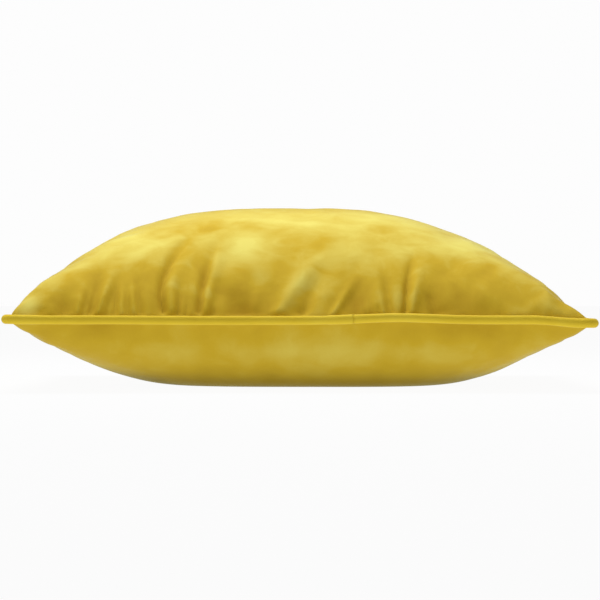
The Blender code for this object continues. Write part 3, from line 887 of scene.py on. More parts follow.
@dataclass
class Skin:
    """The points of one finished face on its grid, which the layers inside it follow."""

    side: Side
    lines_u: list[float]
    lines_v: list[float]
    points: np.ndarray

    def normals(self) -> np.ndarray:
        """Outward unit normals, in the same layout as the points."""
        along = np.gradient(self.points, axis=1)
        up = np.gradient(self.points, axis=0)
        normals = np.cross(along, up) * self.side.value
        return normals / np.maximum(np.linalg.norm(normals, axis=2, keepdims=True), 1e-12)

    def inside(self, u: float, v: float, depth: float) -> Vector:
        """The point at a depth under the face.

        Args:
            u: Its place across, from -1 to 1.
            v: Its place from front to back, from -1 to 1.
            depth: How far it lies inside the outer face.

        Returns:
            The point, in metres.
        """
        column = min(max(np.searchsorted(self.lines_u, u) - 1, 0), len(self.lines_u) - 2)
        row = min(max(np.searchsorted(self.lines_v, v) - 1, 0), len(self.lines_v) - 2)
        s = (u - self.lines_u[column]) / (self.lines_u[column + 1] - self.lines_u[column])
        t = (v - self.lines_v[row]) / (self.lines_v[row + 1] - self.lines_v[row])
        square = self.points[row : row + 2, column : column + 2]
        near, far = (line[0] * (1 - s) + line[1] * s for line in square)
        place = near * (1 - t) + far * t
        normal = np.cross(square[0, 1] - square[0, 0], square[1, 0] - square[0, 0]) * self.side.value
        normal /= max(float(np.linalg.norm(normal)), 1e-12)
        return Vector(place - normal * depth)


# ---- Studio -----------------------------------------------------------------------------------------------


@dataclass
class Studio:
    """A white sweep of floor and backdrop, a broad soft light overhead and a level camera in front."""

    distance: float = 2.4
    eye_height: float = 0.0763
    field: float = 600 / 2625
    floor_size: float = 60.0
    white: float = 0.982
    floor_paper: float = 0.03
    room_light: float = 0.27
    under_glow: float = 0.42
    under_span: tuple[float, float] = (0.1464, 0.1848)
    under_stretch: float = 0.9
    key_power: float = 27.0
    key_place: tuple[float, float, float] = (-0.18, 0.30, 1.45)
    key_size: float = 0.9
    side_power: float = 1.6
    side_place: tuple[float, float, float] = (-1.5, -0.35, 0.75)
    side_size: float = 0.5

    def build(self) -> None:
        """Makes the floor, the world, the light and the camera."""
        self._floor()
        self._world()
        self._light("key", self.key_place, self.key_size, self.key_power)
        self._light("side", self.side_place, self.side_size, self.side_power)
        self._camera()
        view = bpy.context.scene.view_settings
        view.view_transform = "Standard"
        view.look = "None"

    def _floor(self) -> None:
        """A plain pale floor, white to the eye, that lights the pillow less from right under it."""
        g = Graph("floor_white")
        across, along = (g.part(g.place((self.under_stretch, 1, 1)), axis) for axis in "XY")
        around = ((across * across) ** 2 + (along * along) ** 2) ** 0.25
        lit = g.range(around, *self.under_span, self.under_glow, 1.0)
        seen = g.node("ShaderNodeLightPath", out="Is Camera Ray")
        strength = lit.most(seen)
        white = as_rgba((self.white,) * 3)
        glow = g.node("ShaderNodeEmission", None, {"Color": white, "Strength": strength})
        paper = g.node("ShaderNodeBsdfDiffuse", None, {"Color": as_rgba((0.9, 0.9, 0.9))})
        both = g.node("ShaderNodeMixShader", None, {0: self.floor_paper, 1: glow, 2: paper})
        g.node("ShaderNodeOutputMaterial", None, {"Surface": both})
        bm = bmesh.new()
        bmesh.ops.create_grid(bm, x_segments=1, y_segments=1, size=self.floor_size / 2)
        object_from("floor", bm, g.material)

    def _world(self) -> None:
        """A white room: the backdrop is as white as the floor, and its light on the pillow is dim."""
        world = bpy.data.worlds.new("white_room")
        bpy.context.scene.world = world
        world.use_nodes = True
        tree = world.node_tree
        tree.nodes.clear()
        path = tree.nodes.new("ShaderNodeLightPath")
        seen = tree.nodes.new("ShaderNodeBackground")
        light = tree.nodes.new("ShaderNodeBackground")
        seen.inputs["Color"].default_value = as_rgba((self.white,) * 3)
        light.inputs["Color"].default_value = as_rgba((self.room_light,) * 3)
        both = tree.nodes.new("ShaderNodeMixShader")
        out = tree.nodes.new("ShaderNodeOutputWorld")
        tree.links.new(path.outputs["Is Camera Ray"], both.inputs[0])
        tree.links.new(light.outputs[0], both.inputs[1])
        tree.links.new(seen.outputs[0], both.inputs[2])
        tree.links.new(both.outputs[0], out.inputs["Surface"])

    def _light(self, name: str, place: Sequence[float], size: float, power: float) -> None:
        """Hangs a square soft light and turns it to the pillow.

        Args:
            name: The light's name.
            place: Where it hangs.
            size: Its side.
            power: Its power in watts.
        """
        data = bpy.data.lights.new(name, "AREA")
        data.shape = "SQUARE"
        data.size = size
        data.energy = power
        lamp = bpy.data.objects.new(name, data)
        lamp.location = place
        lamp.rotation_euler = Vector(place).to_track_quat("Z", "Y").to_euler()
        bpy.context.scene.collection.objects.link(lamp)

    def _camera(self) -> None:
        """A level camera in front of the near edge, a little above the height of the seam."""
        data = bpy.data.cameras.new("camera")
        data.sensor_width = 36.0
        data.lens = data.sensor_width / self.field
        data.clip_end = 4 * self.floor_size
        camera = bpy.data.objects.new("camera", data)
        camera.location = (0.0, -self.distance, self.eye_height)
        camera.rotation_euler = (math.radians(90), 0, 0)
        bpy.context.scene.collection.objects.link(camera)
        bpy.context.scene.camera = camera


# ---- The velvet cover -------------------------------------------------------------------------------------


def edge_lines(count: int, crowd: float = 0.65) -> list[float]:
    """Grid lines from -1 to 1 that crowd towards the edges.

    Args:
        count: How many, an odd number.
        crowd: How much they crowd, from 0 for even spacing to 1.

    Returns:
        The lines.
    """
    middle = (count - 1) // 2
    even = ((i - middle) / middle for i in range(count))
    return [(1 - crowd) * t + crowd * math.sin(t * math.pi / 2) for t in even]


def grid_mesh(skin: Skin) -> tuple[bmesh.types.BMesh, list[list[bmesh.types.BMVert]]]:
    """Lays a grid over a skin's points.

    Args:
        skin: The points.

    Returns:
        The mesh, with a layer for the lean of the pile and for painted shade and painted highlight, and its
        vertices by row and column.
    """
    bm = bmesh.new()
    bm.verts.layers.float.new("nap_and_shade")
    grid = lay_grid(bm, skin.points)
    if skin.side is Side.UNDER:
        bmesh.ops.reverse_faces(bm, faces=bm.faces)
    return bm, grid


def blur(field_in: np.ndarray, passes: int) -> np.ndarray:
    """Smooths a grid of numbers with a small repeated average that keeps its edges.

    Args:
        field_in: The numbers.
        passes: How many times to average.

    Returns:
        The smoothed grid.
    """
    out = field_in.copy()
    for _ in range(passes):
        wide = np.pad(out, 1, mode="edge")
        out = (wide[:-2, 1:-1] + wide[2:, 1:-1] + wide[1:-1, :-2] + wide[1:-1, 2:] + 2 * out) / 6
    return out


@dataclass
class ClothFolds:
    """Finds where the filled cover puckers, by blowing up a panel that is loose along its sewn edges."""

    lines: int = 81
    looseness: float = 0.075
    loose_band: float = 0.45
    pressure: float = 2.0
    frames: int = 30
    tension: float = 40.0
    shrink: float = 40.0
    bending: float = 0.5
    mass: float = 0.3
    damping: float = 4.0
    quality: int = 6
    blur_passes: int = 60
    stir: float = 0.0012
    stir_scale: float = 45.0
    share: float = 0.8
    most: float = 0.0042

    def find(
        self, form: PillowForm, side: Side, finer_u: Sequence[float], finer_v: Sequence[float]
    ) -> np.ndarray:
        """Blows up one panel and keeps only its folds.

        Args:
            form: The form that it starts from.
            side: The face.
            finer_u: The grid lines across that the folds are wanted on.
            finer_v: The grid lines from front to back.

        Returns:
            How far each point of the finer grid moves along the face's normal, in metres.
        """
        lines = edge_lines(self.lines)
        skin = Skin(side, lines, lines, form.grid(lines, lines, side))
        bm, grid = grid_mesh(skin)
        bm.verts.index_update()
        order = [[vert.index for vert in row] for row in grid]
        mesh = bpy.data.meshes.new("folding")
        bm.to_mesh(mesh)
        bm.free()
        panel = bpy.data.objects.new("folding", mesh)
        bpy.context.scene.collection.objects.link(panel)
        self._sew(panel, order)
        settled = self._blow_up(panel)
        bpy.data.objects.remove(panel)
        moved = np.array([[settled[i] for i in row] for row in order]) - skin.points
        out = np.einsum("ijk,ijk->ij", moved, skin.normals())
        folds = self.share * (out - blur(out, self.blur_passes))
        LOG.info("%s folds: up to %.1f mm", side.name.lower(), 1000 * float(np.abs(folds).max()))
        folds = self.most * np.tanh(folds / self.most)
        across = np.array([np.interp(finer_u, lines, row) for row in folds])
        return blur(np.array([np.interp(finer_v, lines, column) for column in across.T]).T, 2)

    def _sew(self, panel: bpy.types.Object, order: list[list[int]]) -> None:
        """Pins the panel's edge, loosens the cloth near it and gives it its stiffness."""
        lines = edge_lines(self.lines)
        last = self.lines - 1
        seam = panel.vertex_groups.new(name="seam")
        taut = panel.vertex_groups.new(name="taut")
        for row, col in np.ndindex(self.lines, self.lines):
            index = order[row][col]
            if row in (0, last) or col in (0, last):
                seam.add([index], 1.0, "REPLACE")
                continue
            at = panel.data.vertices[index].co
            at.z += noise.noise(at * self.stir_scale) * self.stir
            away = 1 - max(abs(lines[row]), abs(lines[col]))
            taut.add([index], smooth_step(away, 0.0, self.loose_band), "REPLACE")
        cloth = panel.modifiers.new("cloth", "CLOTH")
        settings = cloth.settings
        settings.quality = self.quality
        settings.mass = self.mass
        settings.tension_stiffness = self.tension
        settings.compression_stiffness = self.shrink
        settings.shear_stiffness = self.shrink
        settings.bending_stiffness = self.bending
        settings.air_damping = self.damping
        settings.vertex_group_mass = "seam"
        settings.vertex_group_shrink = "taut"
        settings.shrink_min = -self.looseness
        settings.shrink_max = 0.0
        settings.use_pressure = True
        settings.uniform_pressure_force = self.pressure
        settings.effector_weights.gravity = 0.0
        cloth.collision_settings.use_collision = False
        cloth.point_cache.frame_end = self.frames

    def _blow_up(self, panel: bpy.types.Object) -> np.ndarray:
        """Runs the frames and returns the points of the last."""
        scene = bpy.context.scene
        for frame in range(1, self.frames + 1):
            scene.frame_set(frame)
        ready = panel.evaluated_get(bpy.context.evaluated_depsgraph_get())
        flat = np.empty(3 * len(ready.data.vertices))
        ready.data.vertices.foreach_get("co", flat)
        scene.frame_set(1)
        return flat.reshape(-1, 3)


@dataclass
class Cover:
    """The two velvet panels."""

    form: PillowForm
    columns: int = 321
    rows: int = 129
    crowd: float = 0.3
    thickness: float = 0.0009
    allowance: float = 0.010
    front_folds: float = 0.35
    under_folds: float = 0.3
    # Painted shade in fold grooves and painted highlight on fold ridges, per metre of the fold's move.
    fold_shade_gain: float = 90.0
    # Painted sheen: how much paler the top is painted towards the crown, over the band of heights given
    # below.
    crown_sheen: float = 0.14
    slot_half: float = 0.0051
    slot_end: float = 0.1683
    corner_fade: tuple[float, float] = (0.86, 0.96)
    front_band: tuple[float, float] = (0.35, 0.7)
    front_ends: tuple[float, float] = (0.8, 0.95)
    rest_fade: float = 0.012
    # How far back the front patches reach; they hold brushed pile with painted shade and painted sheen.
    front_patch_end: tuple[float, float] = (-0.11, 0.0)
    crown_sheen_band: tuple[float, float] = (0.035, 0.075)
    rim_reach: float = 0.003
    rim_height: float = 0.008

    def build(self) -> dict[Side, Skin]:
        """Makes both panels.

        Returns:
            Their outer faces, for the layers inside.
        """
        finish = Velvet().material()
        skins = {}
        for side, node in ((Side.TOP, "top_panel"), (Side.UNDER, "bottom_panel")):
            skins[side] = skin = self._shape(side)
            bm, grid = grid_mesh(skin)
            self._paint_nap_and_shade(bm, grid, skin)
            if side is Side.UNDER:
                self._open_slot(bm, grid, skin)
            self._turn_in(bm)
            panel = object_from(f"velvet_{side.name.lower()}", bm, finish)
            thicken(panel, self.thickness)
            settle(panel, Body.CUSHION, "velvet", node)
        return skins

    def _shape(self, side: Side) -> Skin:
        """Lays out one face with its folds."""
        lines_u, lines_v = edge_lines(self.columns, self.crowd), edge_lines(self.rows)
        form = self.form
        finer = ClothFolds().find(form, side, lines_u, lines_v)
        if side is Side.UNDER:
            self._place_lines(lines_u, lines_v)
        skin = Skin(side, lines_u, lines_v, form.grid(lines_u, lines_v, side))
        normals = skin.normals()
        for row, col in np.ndindex(*finer.shape):
            x, y, z = skin.points[row, col]
            into_corner = min(abs(lines_u[col]), abs(lines_v[row]))
            move = finer[row, col] * (1 - smooth_step(into_corner, *self.corner_fade))
            if side is Side.TOP and y < 0:
                near = smooth_step(-y / form.half, *self.front_band)
                near *= 1 - smooth_step(abs(x) / form.half, *self.front_ends)
                move *= 1 - (1 - self.front_folds) * near
                move += sum(fold.move_at(x, z - form.seam_z) for fold in FRONT_FOLDS)
            elif side is Side.UNDER:
                move *= smooth_step(z, 0.0, self.rest_fade) * (self.under_folds if y < 0 else 1.0)
                move *= 1 - form.zip_hold(x, lines_v[row])
            skin.points[row, col] += normals[row, col] * move
            skin.points[row, col][2] = max(skin.points[row, col][2], 0.0)
        return skin

    def _place_lines(self, lines_u: list[float], lines_v: list[float]) -> None:
        """Moves the nearest grid lines onto the edges of the slot for the zip."""
        form = self.form
        for place in (-self.slot_end, self.slot_end):
            wanted = place / form.half
            lines_u[min(range(self.columns), key=lambda i: abs(lines_u[i] - wanted))] = wanted
        outer, inner = form.strip_lines()
        middle, reach = (outer + inner) / 2, (outer - inner) / 2
        for place in (-self.slot_half, self.slot_half):
            wanted = middle - reach * place / form.zip_strip
            lines_v[min(range(self.rows), key=lambda i: abs(lines_v[i] - wanted))] = wanted

    def _open_slot(self, bm: bmesh.types.BMesh, grid: list[list[bmesh.types.BMVert]], skin: Skin) -> None:
        """Takes out the faces over the zip."""
        outer, inner = self.form.strip_lines()
        middle, reach = (outer + inner) / 2, (outer - inner) / 2
        span_v = reach * self.slot_half / self.form.zip_strip + 1e-6
        span_u = self.slot_end / self.form.half + 1e-6
        places = {}
        for row, col in np.ndindex(self.rows, self.columns):
            places[grid[row][col]] = (skin.lines_u[col], skin.lines_v[row])
        over = {vert for vert, (u, v) in places.items() if abs(u) <= span_u and abs(v - middle) <= span_v}
        gone = [face for face in bm.faces if over.issuperset(face.verts)]
        bmesh.ops.delete(bm, geom=gone, context="FACES")

    def _paint_nap_and_shade(self, bm: bmesh.types.BMesh, grid: list[list[bmesh.types.BMVert]], skin: Skin) -> None:
        """Sets the point value that pales or deepens the velvet: painted shade in the folds' grooves, painted
        highlight on their ridges, painted sheen on the crown and the listed patches.
        """
        layer = bm.verts.layers.float["nap_and_shade"]
        base = self.form.grid(skin.lines_u, skin.lines_v, skin.side)
        moved = np.einsum("ijk,ijk->ij", skin.points - base, skin.normals())
        for row, col in np.ndindex(*moved.shape):
            x, y, z = skin.points[row, col]
            # Painted shade in the grooves and painted highlight on the ridges, by how far the folds move the
            # cloth.
            lean = float(moved[row, col]) * self.fold_shade_gain
            rise = z - self.form.seam_z
            if skin.side is Side.TOP:
                front = 1 - smooth_step(y, *self.front_patch_end)
                # Painted sheen: paler towards the crown.
                lean += self.crown_sheen * smooth_step(rise, *self.crown_sheen_band)
                if front > 0:
                    # Patches of brushed pile, painted shade and painted sheen.
                    lean += front * sum(tone_patch.tone_at(x, rise) for tone_patch in FRONT_NAP_AND_SHADE)
            elif y < 0:
                # Painted light and shade on the front of the underside.
                lean += sum(tone_patch.tone_at(x, rise) for tone_patch in UNDER_PAINTED_LIGHT_AND_SHADE)
            grid[row][col][layer] = lean

    def _turn_in(self, bm: bmesh.types.BMesh) -> None:
        """Folds in the panel's sewn edge, and leaves the edges of the slot."""
        span = self.form.half - self.form.edge_pull - self.rim_reach
        starts = {edge: edge.verts[0].co for edge in bm.edges if edge.is_boundary}
        rim = [edge for edge, at in starts.items() if max(abs(at.x), abs(at.y)) > span]
        rim = [edge for edge in rim if abs(starts[edge].z - self.form.seam_z) < self.rim_height]
        turn_in(bm, rim, 1 - self.allowance / self.form.half)


# ---- The piping -------------------------------------------------------------------------------------------


@dataclass
class Piping:
    """The velvet strip folded round its cord, from the lapped join at the front edge all the way round."""

    form: PillowForm
    splice_x: float = 0.045
    lap_length: float = 0.020
    lap_rise: float = 0.00035
    strip_thickness: float = 0.0008
    flange: float = 0.012
    flange_gap: float = 0.00065
    corner_flange: float = 0.0042
    section: int = 26
    points: int = 241
    corner_band: tuple[float, float] = (-0.030, -0.012)
    cord_sides: int = 18
    cord_waist: float = 0.86
    cord_lobe: float = 0.12
    waver: float = 0.00022
    waver_scale: float = 75.0
    corner_swell: float = 0.0005
    cord_radius: float = 0.0021
    cord_strands: int = 3
    cord_twist: float = 0.011

    def build(self) -> None:
        """Makes the strip and the cord in it."""
        route = self.route()
        self._strip(route)
        self._cord(route)

    def route(self) -> list[Vector]:
        """The middle of the piping, as points from the join round to the join, going right first."""
        form = self.form
        lines = edge_lines(self.points)[:-1]
        loop = [(u, -1.0) for u in lines] + [(1.0, v) for v in lines]
        loop += [(-u, 1.0) for u in lines] + [(-1.0, -v) for v in lines]
        flat = [form.plan(u, v, form.cord_radius) for u, v in loop]
        points = [Vector((x, y, form.seam_height(x, y))) for x, y in flat]
        start = min(range(len(lines)), key=lambda i: abs(points[i].x - self.splice_x))
        return points[start:] + points[: start + 1]

    def sweep(
        self,
        route: list[Vector],
        section: Callable[[Vector, float], list[tuple[float, float]]],
        closed: bool,
    ) -> bmesh.types.BMesh:
        """Carries a section along the route, as a grid with one row for each point of the way.

        Args:
            route: The points of the way.
            section: Gives the section at a point and a length along the way, as (inward, up) pairs.
            closed: Whether the section is a ring.

        Returns:
            The mesh.
        """
        places = []
        run = 0.0
        for i, point in enumerate(route):
            run += (point - route[i - 1]).length if i else 0.0
            ahead = (route[min(i + 1, len(route) - 1)] - route[max(i - 1, 0)]).normalized()
            inward = Vector((-ahead.y, ahead.x, 0)).normalized()
            ring = section(point, run)
            ring += ring[:1] if closed else []
            places.append([point + across * inward + Vector((0, 0, up)) for across, up in ring])
        bm = bmesh.new()
        lay_grid(bm, places)
        if closed:
            bmesh.ops.remove_doubles(bm, verts=bm.verts, dist=1e-6)
            bmesh.ops.holes_fill(bm, edges=[edge for edge in bm.edges if edge.is_boundary])
            bmesh.ops.recalc_face_normals(bm, faces=bm.faces)
        return bm

    def _strip(self, route: list[Vector]) -> None:
        """Makes the velvet strip, open inwards where its two edges lie in the seam."""
        total = sum((b - a).length for a, b in zip(route, route[1:]))
        corner = self.form.half

        def section(point: Vector, run: float) -> list[tuple[float, float]]:
            """The strip's outer line from its upper edge round the cord to its lower edge."""
            lap = self.lap_rise if run > total - self.lap_length else 0.0
            near = smooth_step(min(abs(point.x), abs(point.y)) - corner, *self.corner_band)
            reach = self.flange + (self.corner_flange - self.flange) * near
            opening = math.asin((self.flange_gap + self.strip_thickness) / self.form.cord_radius)
            rise = self.flange_gap + self.strip_thickness
            lap += self.corner_swell * near + self.waver * noise.noise(point * self.waver_scale)
            line = [(reach, rise)]
            for i in range(self.section + 1):
                angle = opening + (2 * math.pi - 2 * opening) * i / self.section
                radius = self.form.cord_radius + lap * (1 - math.cos(angle)) / 2
                line.append((radius * math.cos(angle), radius * math.sin(angle)))
            return line + [(reach, -rise)]

        bm = self.sweep(route, section, False)
        bm.normal_update()
        outward = sum(f.normal.z * (f.calc_center_median().z - self.form.seam_z) for f in bm.faces)
        if outward < 0:
            bmesh.ops.reverse_faces(bm, faces=bm.faces)
        strip = object_from("piping_strip", bm, LIGHTENED_PIPING_VELVET.material())
        thicken(strip, self.strip_thickness)
        settle(strip, Body.CUSHION, "piping_velvet", "piping_wrap")

    def _cord(self, route: list[Vector]) -> None:
        """Makes the twisted cotton cord, whose ends meet behind the join."""

        def section(_: Vector, run: float) -> list[tuple[float, float]]:
            """A three-lobed ring that turns along the cord."""
            ring = []
            for i in range(self.cord_sides):
                angle = 2 * math.pi * i / self.cord_sides
                lobe = abs(math.cos(self.cord_strands * (angle - 2 * math.pi * run / self.cord_twist) / 2))
                radius = self.cord_radius * (self.cord_waist + self.cord_lobe * lobe)
                ring.append((radius * math.cos(angle), radius * math.sin(angle)))
            return ring

        bm = self.sweep(route[:-1], section, True)
        cord = object_from("filler_cord", bm, Cotton("cotton_cord", (0.80, 0.76, 0.66), 900.0).material())
        settle(cord, Body.CUSHION, "cotton_cord", "piping_cord")


# ---- The zip ----------------------------------------------------------------------------------------------


def rod_block(
    bm: bmesh.types.BMesh, low: Sequence[float], high: Sequence[float], round_by: float = 0.0
) -> list[bmesh.types.BMVert]:
    """Adds a block between two corners, with its edges rounded off.

    Args:
        bm: The mesh to add to.
        low: The lowest corner.
        high: The highest corner.
        round_by: How wide the bevel is.

    Returns:
        The block's vertices.
    """
    made = bmesh.ops.create_cube(bm, size=1)["verts"]
    middle = [(a + b) / 2 for a, b in zip(low, high)]
    size = [b - a for a, b in zip(low, high)]
    bmesh.ops.scale(bm, vec=size, verts=made)
    bmesh.ops.translate(bm, vec=middle, verts=made)
    if not round_by:
        return made
    return round_edges(bm, list({edge for vert in made for edge in vert.link_edges}), round_by)


def lay_uv(bm: bmesh.types.BMesh) -> None:
    """Gives a mesh that still lies in its own frame a UV map in metres, seen along its Z."""
    layer = bm.loops.layers.uv.new("UVMap")
    for face in bm.faces:
        for loop in face.loops:
            loop[layer].uv = loop.vert.co.xy


@dataclass
class Zip:
    """The zip under the back edge: two woven tapes, two rows of moulded teeth, stops, slider and pull.

    Every part is made in the zip's own frame, at the middle of the tapes' thickness, and then placed.
    """

    form: PillowForm
    half_length: float = 0.165
    tape_half: float = 0.1738
    tape_edge: float = 0.0038
    tape_width: float = 0.009
    tape_thickness: float = 0.0005
    tape_bead: float = 0.0009
    tape_selvage: float = 0.0006
    bead_rise: float = 1.6
    tooth_pitch: float = 0.003
    tooth_width: float = 0.0014
    tooth_tip: float = 0.0004
    tooth_root: float = 0.0036
    tooth_height: float = 0.0021
    tooth_neck: float = 0.72
    tooth_head: float = 0.0012
    tooth_overlap: float = 0.0002
    tooth_round: float = 0.0003
    stop_x: float = 0.16655
    stop_half: float = 0.00125
    stop_gap: float = 0.0007
    stop_side: float = 0.0046
    stop_rise: float = 0.0009975
    slider_half: float = 0.005
    slider_side: float = 0.0046
    plate_inner: float = 0.0014
    plate_outer: float = 0.0023
    plate_round: float = 0.0016
    waist: float = 0.16
    waist_span: tuple[float, float] = (-0.001, 0.005)
    wall_insets: tuple[float, float] = (0.0008, 0.00005)
    wall_span: tuple[float, float] = (-0.0034, 0.0012)
    wall_overlap: float = 0.0002
    tape_slot: float = 0.0006
    sharp_angle: float = 0.9
    metal_round: float = 0.00014
    arch_inner: float = 0.0020
    arch_thick: float = 0.0010
    arch_width: float = 0.0016
    arch_stretch: float = 1.1
    pivot: float = 0.00345
    pull_length: float = 0.022
    pull_width: float = 0.0056
    pull_thickness: float = 0.0012
    window_radius: float = 0.0011
    window_end: float = 0.00335
    hole_radius: float = 0.0012
    hole_span: tuple[float, float] = (0.0142, 0.0178)
    rim_angle: float = 1.2
    rim_round: float = 0.00016
    stitch_line: float = 0.0092
    stitch_pitch: float = 0.0034
    stitch_half: float = 0.0012
    stitch_lift: float = 0.00005
    thread_half: float = 0.0002
    thread_rise: float = 0.00022
    thread_round: float = 0.0001

    def build(self) -> None:
        """Makes every part of the zip."""
        self._tapes()
        self._teeth()
        self._stops()
        self._stitches()
        metal = Nickel().material()
        self._slider(metal)
        self._pull(metal)

    def _place(self, bm: bmesh.types.BMesh, shift: float = 0.0) -> bmesh.types.BMesh:
        """Moves a mesh from the zip's frame into the pillow's, first along the zip by a shift."""
        bmesh.ops.recalc_face_normals(bm, faces=bm.faces)
        matrix = self.form.zip_frame @ Matrix.Translation((shift, 0, 0))
        bmesh.ops.transform(bm, matrix=matrix, verts=bm.verts)
        return bm

    def _tapes(self) -> None:
        """Two woven tapes, each with a corded inner edge that grips the teeth."""
        finish = Weave("zip_tape", (0.44, 0.31, 0.035), 0.0011).material()
        for name, side in (("front", 1), ("back", -1)):
            bm = bmesh.new()
            edges = sorted((side * self.tape_edge, side * (self.tape_edge + self.tape_width)))
            half = self.tape_thickness / 2
            rod_block(bm, (-self.tape_half, edges[0], -half), (self.tape_half, edges[1], half))
            for y in (self.tape_edge + self.tape_bead, self.tape_edge + self.tape_width - self.tape_selvage):
                cut = [*bm.verts, *bm.edges, *bm.faces]
                bmesh.ops.bisect_plane(bm, geom=cut, plane_co=(0, side * y, 0), plane_no=(0, 1, 0))
            for vert in bm.verts:
                if abs(vert.co.y) - self.tape_edge < self.tape_bead + 0.00005:
                    vert.co.z *= self.bead_rise
            lay_uv(bm)
            tape = object_from(f"tape_{name}", self._place(bm), finish)
            settle(tape, Body.CUSHION, "zip_tape", f"zip_tape_{name}")

    def _teeth(self) -> None:
        """Two rows of moulded teeth that mesh in the middle, each tooth clasping its tape."""
        finish = Moulded("zip_teeth", (0.50, 0.36, 0.055)).material()
        for name, side in (("front", 1), ("back", -1)):
            bm = bmesh.new()
            first = -self.half_length + self.tooth_pitch * (0.5 if side > 0 else 1)
            count = int((self.half_length - first - self.tooth_width) / self.tooth_pitch) + 1
            half, rise = self.tooth_width / 2, self.tooth_height / 2
            head = (-self.tooth_tip, self.tooth_tip + self.tooth_head, half)
            neck = (head[1] - self.tooth_overlap, self.tooth_root, half * self.tooth_neck)
            for i in range(count):
                x = first + i * self.tooth_pitch
                for low, high, wide in (head, neck):
                    span = sorted((side * low, side * high))
                    rod_block(bm, (x - wide, span[0], -rise), (x + wide, span[1], rise))
            edges = [e for e in bm.edges if abs(e.verts[0].co.x - e.verts[1].co.x) < 1e-7]
            round_edges(bm, edges, self.tooth_round, 1)
            row = object_from(f"teeth_{name}", self._place(bm), finish)
            settle(row, Body.CUSHION, "zip_teeth", f"zip_teeth_{name}")

    def _stops(self) -> None:
        """The two stops at the closed end and the one across the open end."""
        finish = Moulded("zip_stop", (0.46, 0.33, 0.05)).material()
        near, far, rise = self.stop_gap, self.stop_side, self.stop_rise
        spans = {
            "top_stop_front": (-self.stop_x, near, far),
            "top_stop_back": (-self.stop_x, -far, -near),
            "bottom_stop": (self.stop_x, -far, far),
        }
        for name, (x, low, high) in spans.items():
            bm = bmesh.new()
            corners = (x - self.stop_half, low, -rise), (x + self.stop_half, high, rise)
            rod_block(bm, *corners, self.tooth_round)
            settle(object_from(name, self._place(bm), finish), Body.CUSHION, "zip_teeth", f"zip_{name}")

    def _stitches(self) -> None:
        """A row of stitches beside the teeth on each side, through the velvet and the tape."""
        bm = bmesh.new()
        level = self.form.zip_plane + self.stitch_lift
        count = int(2 * self.half_length / self.stitch_pitch)
        for side in (-1, 1):
            for i in range(count):
                x = -self.half_length + (i + 0.5) * self.stitch_pitch
                y = side * self.stitch_line
                low = (x - self.stitch_half, y - self.thread_half, level - self.thread_half)
                rod_block(bm, low, (x + self.stitch_half, y + self.thread_half, level + self.thread_rise))
        round_edges(bm, bm.edges[:], self.thread_round, 1)
        finish = Moulded("stitch_thread", (0.52, 0.36, 0.03), rough=0.7).material()
        settle(object_from("zip_stitching", self._place(bm), finish), Body.CUSHION, "zip_tape")

    def _slider(self, metal: bpy.types.Material) -> None:
        """The slider: two waisted plates with side walls and the arch that holds the pull."""
        bm = bmesh.new()
        for way in (-1, 1):
            low, high = sorted((way * self.plate_inner, way * self.plate_outer))
            x, y = self.slider_half, self.slider_side
            plate = {edge for vert in rod_block(bm, (-x, -y, low), (x, y, high)) for edge in vert.link_edges}
            upright = [e for e in plate if abs(e.verts[0].co.z - e.verts[1].co.z) > 1e-5]
            round_edges(bm, upright, self.plate_round, 4)
        for vert in bm.verts:
            vert.co.y *= 1 - self.waist * smooth_step(vert.co.x, *self.waist_span)
        slot, rise = self.tape_slot, self.plate_inner + self.wall_overlap
        for side in (-1, 1):
            wall = sorted(side * (self.slider_side - inset) for inset in self.wall_insets)
            for low, high in ((-rise, -slot), (slot, rise)):
                rod_block(bm, (self.wall_span[0], wall[0], low), (self.wall_span[1], wall[1], high))
        self._arch(bm)
        sharp = [e for e in bm.edges if len(e.link_faces) == 2 and e.calc_face_angle(0) > self.sharp_angle]
        round_edges(bm, sharp, self.metal_round)
        shift = -self.half_length + self.slider_half
        slider = object_from("slider", self._place(bm, shift), metal)
        settle(slider, Body.SLIDER, "zip_metal", "zip_slider_body")

    def _arch(self, bm: bmesh.types.BMesh) -> None:
        """Spins the arch's square section over the plate, so that the pull can swing under it."""
        half = self.arch_width / 2
        near, far = self.arch_inner, self.arch_inner + self.arch_thick
        corners = [(near, -half), (far, -half), (far, half), (near, half)]
        verts = [bm.verts.new((x, y, self.plate_outer)) for x, y in corners]
        face = bm.faces.new(verts)
        bmesh.ops.spin(
            bm, geom=[face, *face.edges, *verts], cent=(0, 0, self.plate_outer), axis=(0, 1, 0),
            dvec=(0, 0, 0), angle=-math.pi, steps=12, use_merge=False,
        )
        for vert in bm.verts:
            if vert.co.z > self.plate_outer + 1e-6 and abs(vert.co.y) < half + 1e-6:
                vert.co.z = self.plate_outer + (vert.co.z - self.plate_outer) * self.arch_stretch

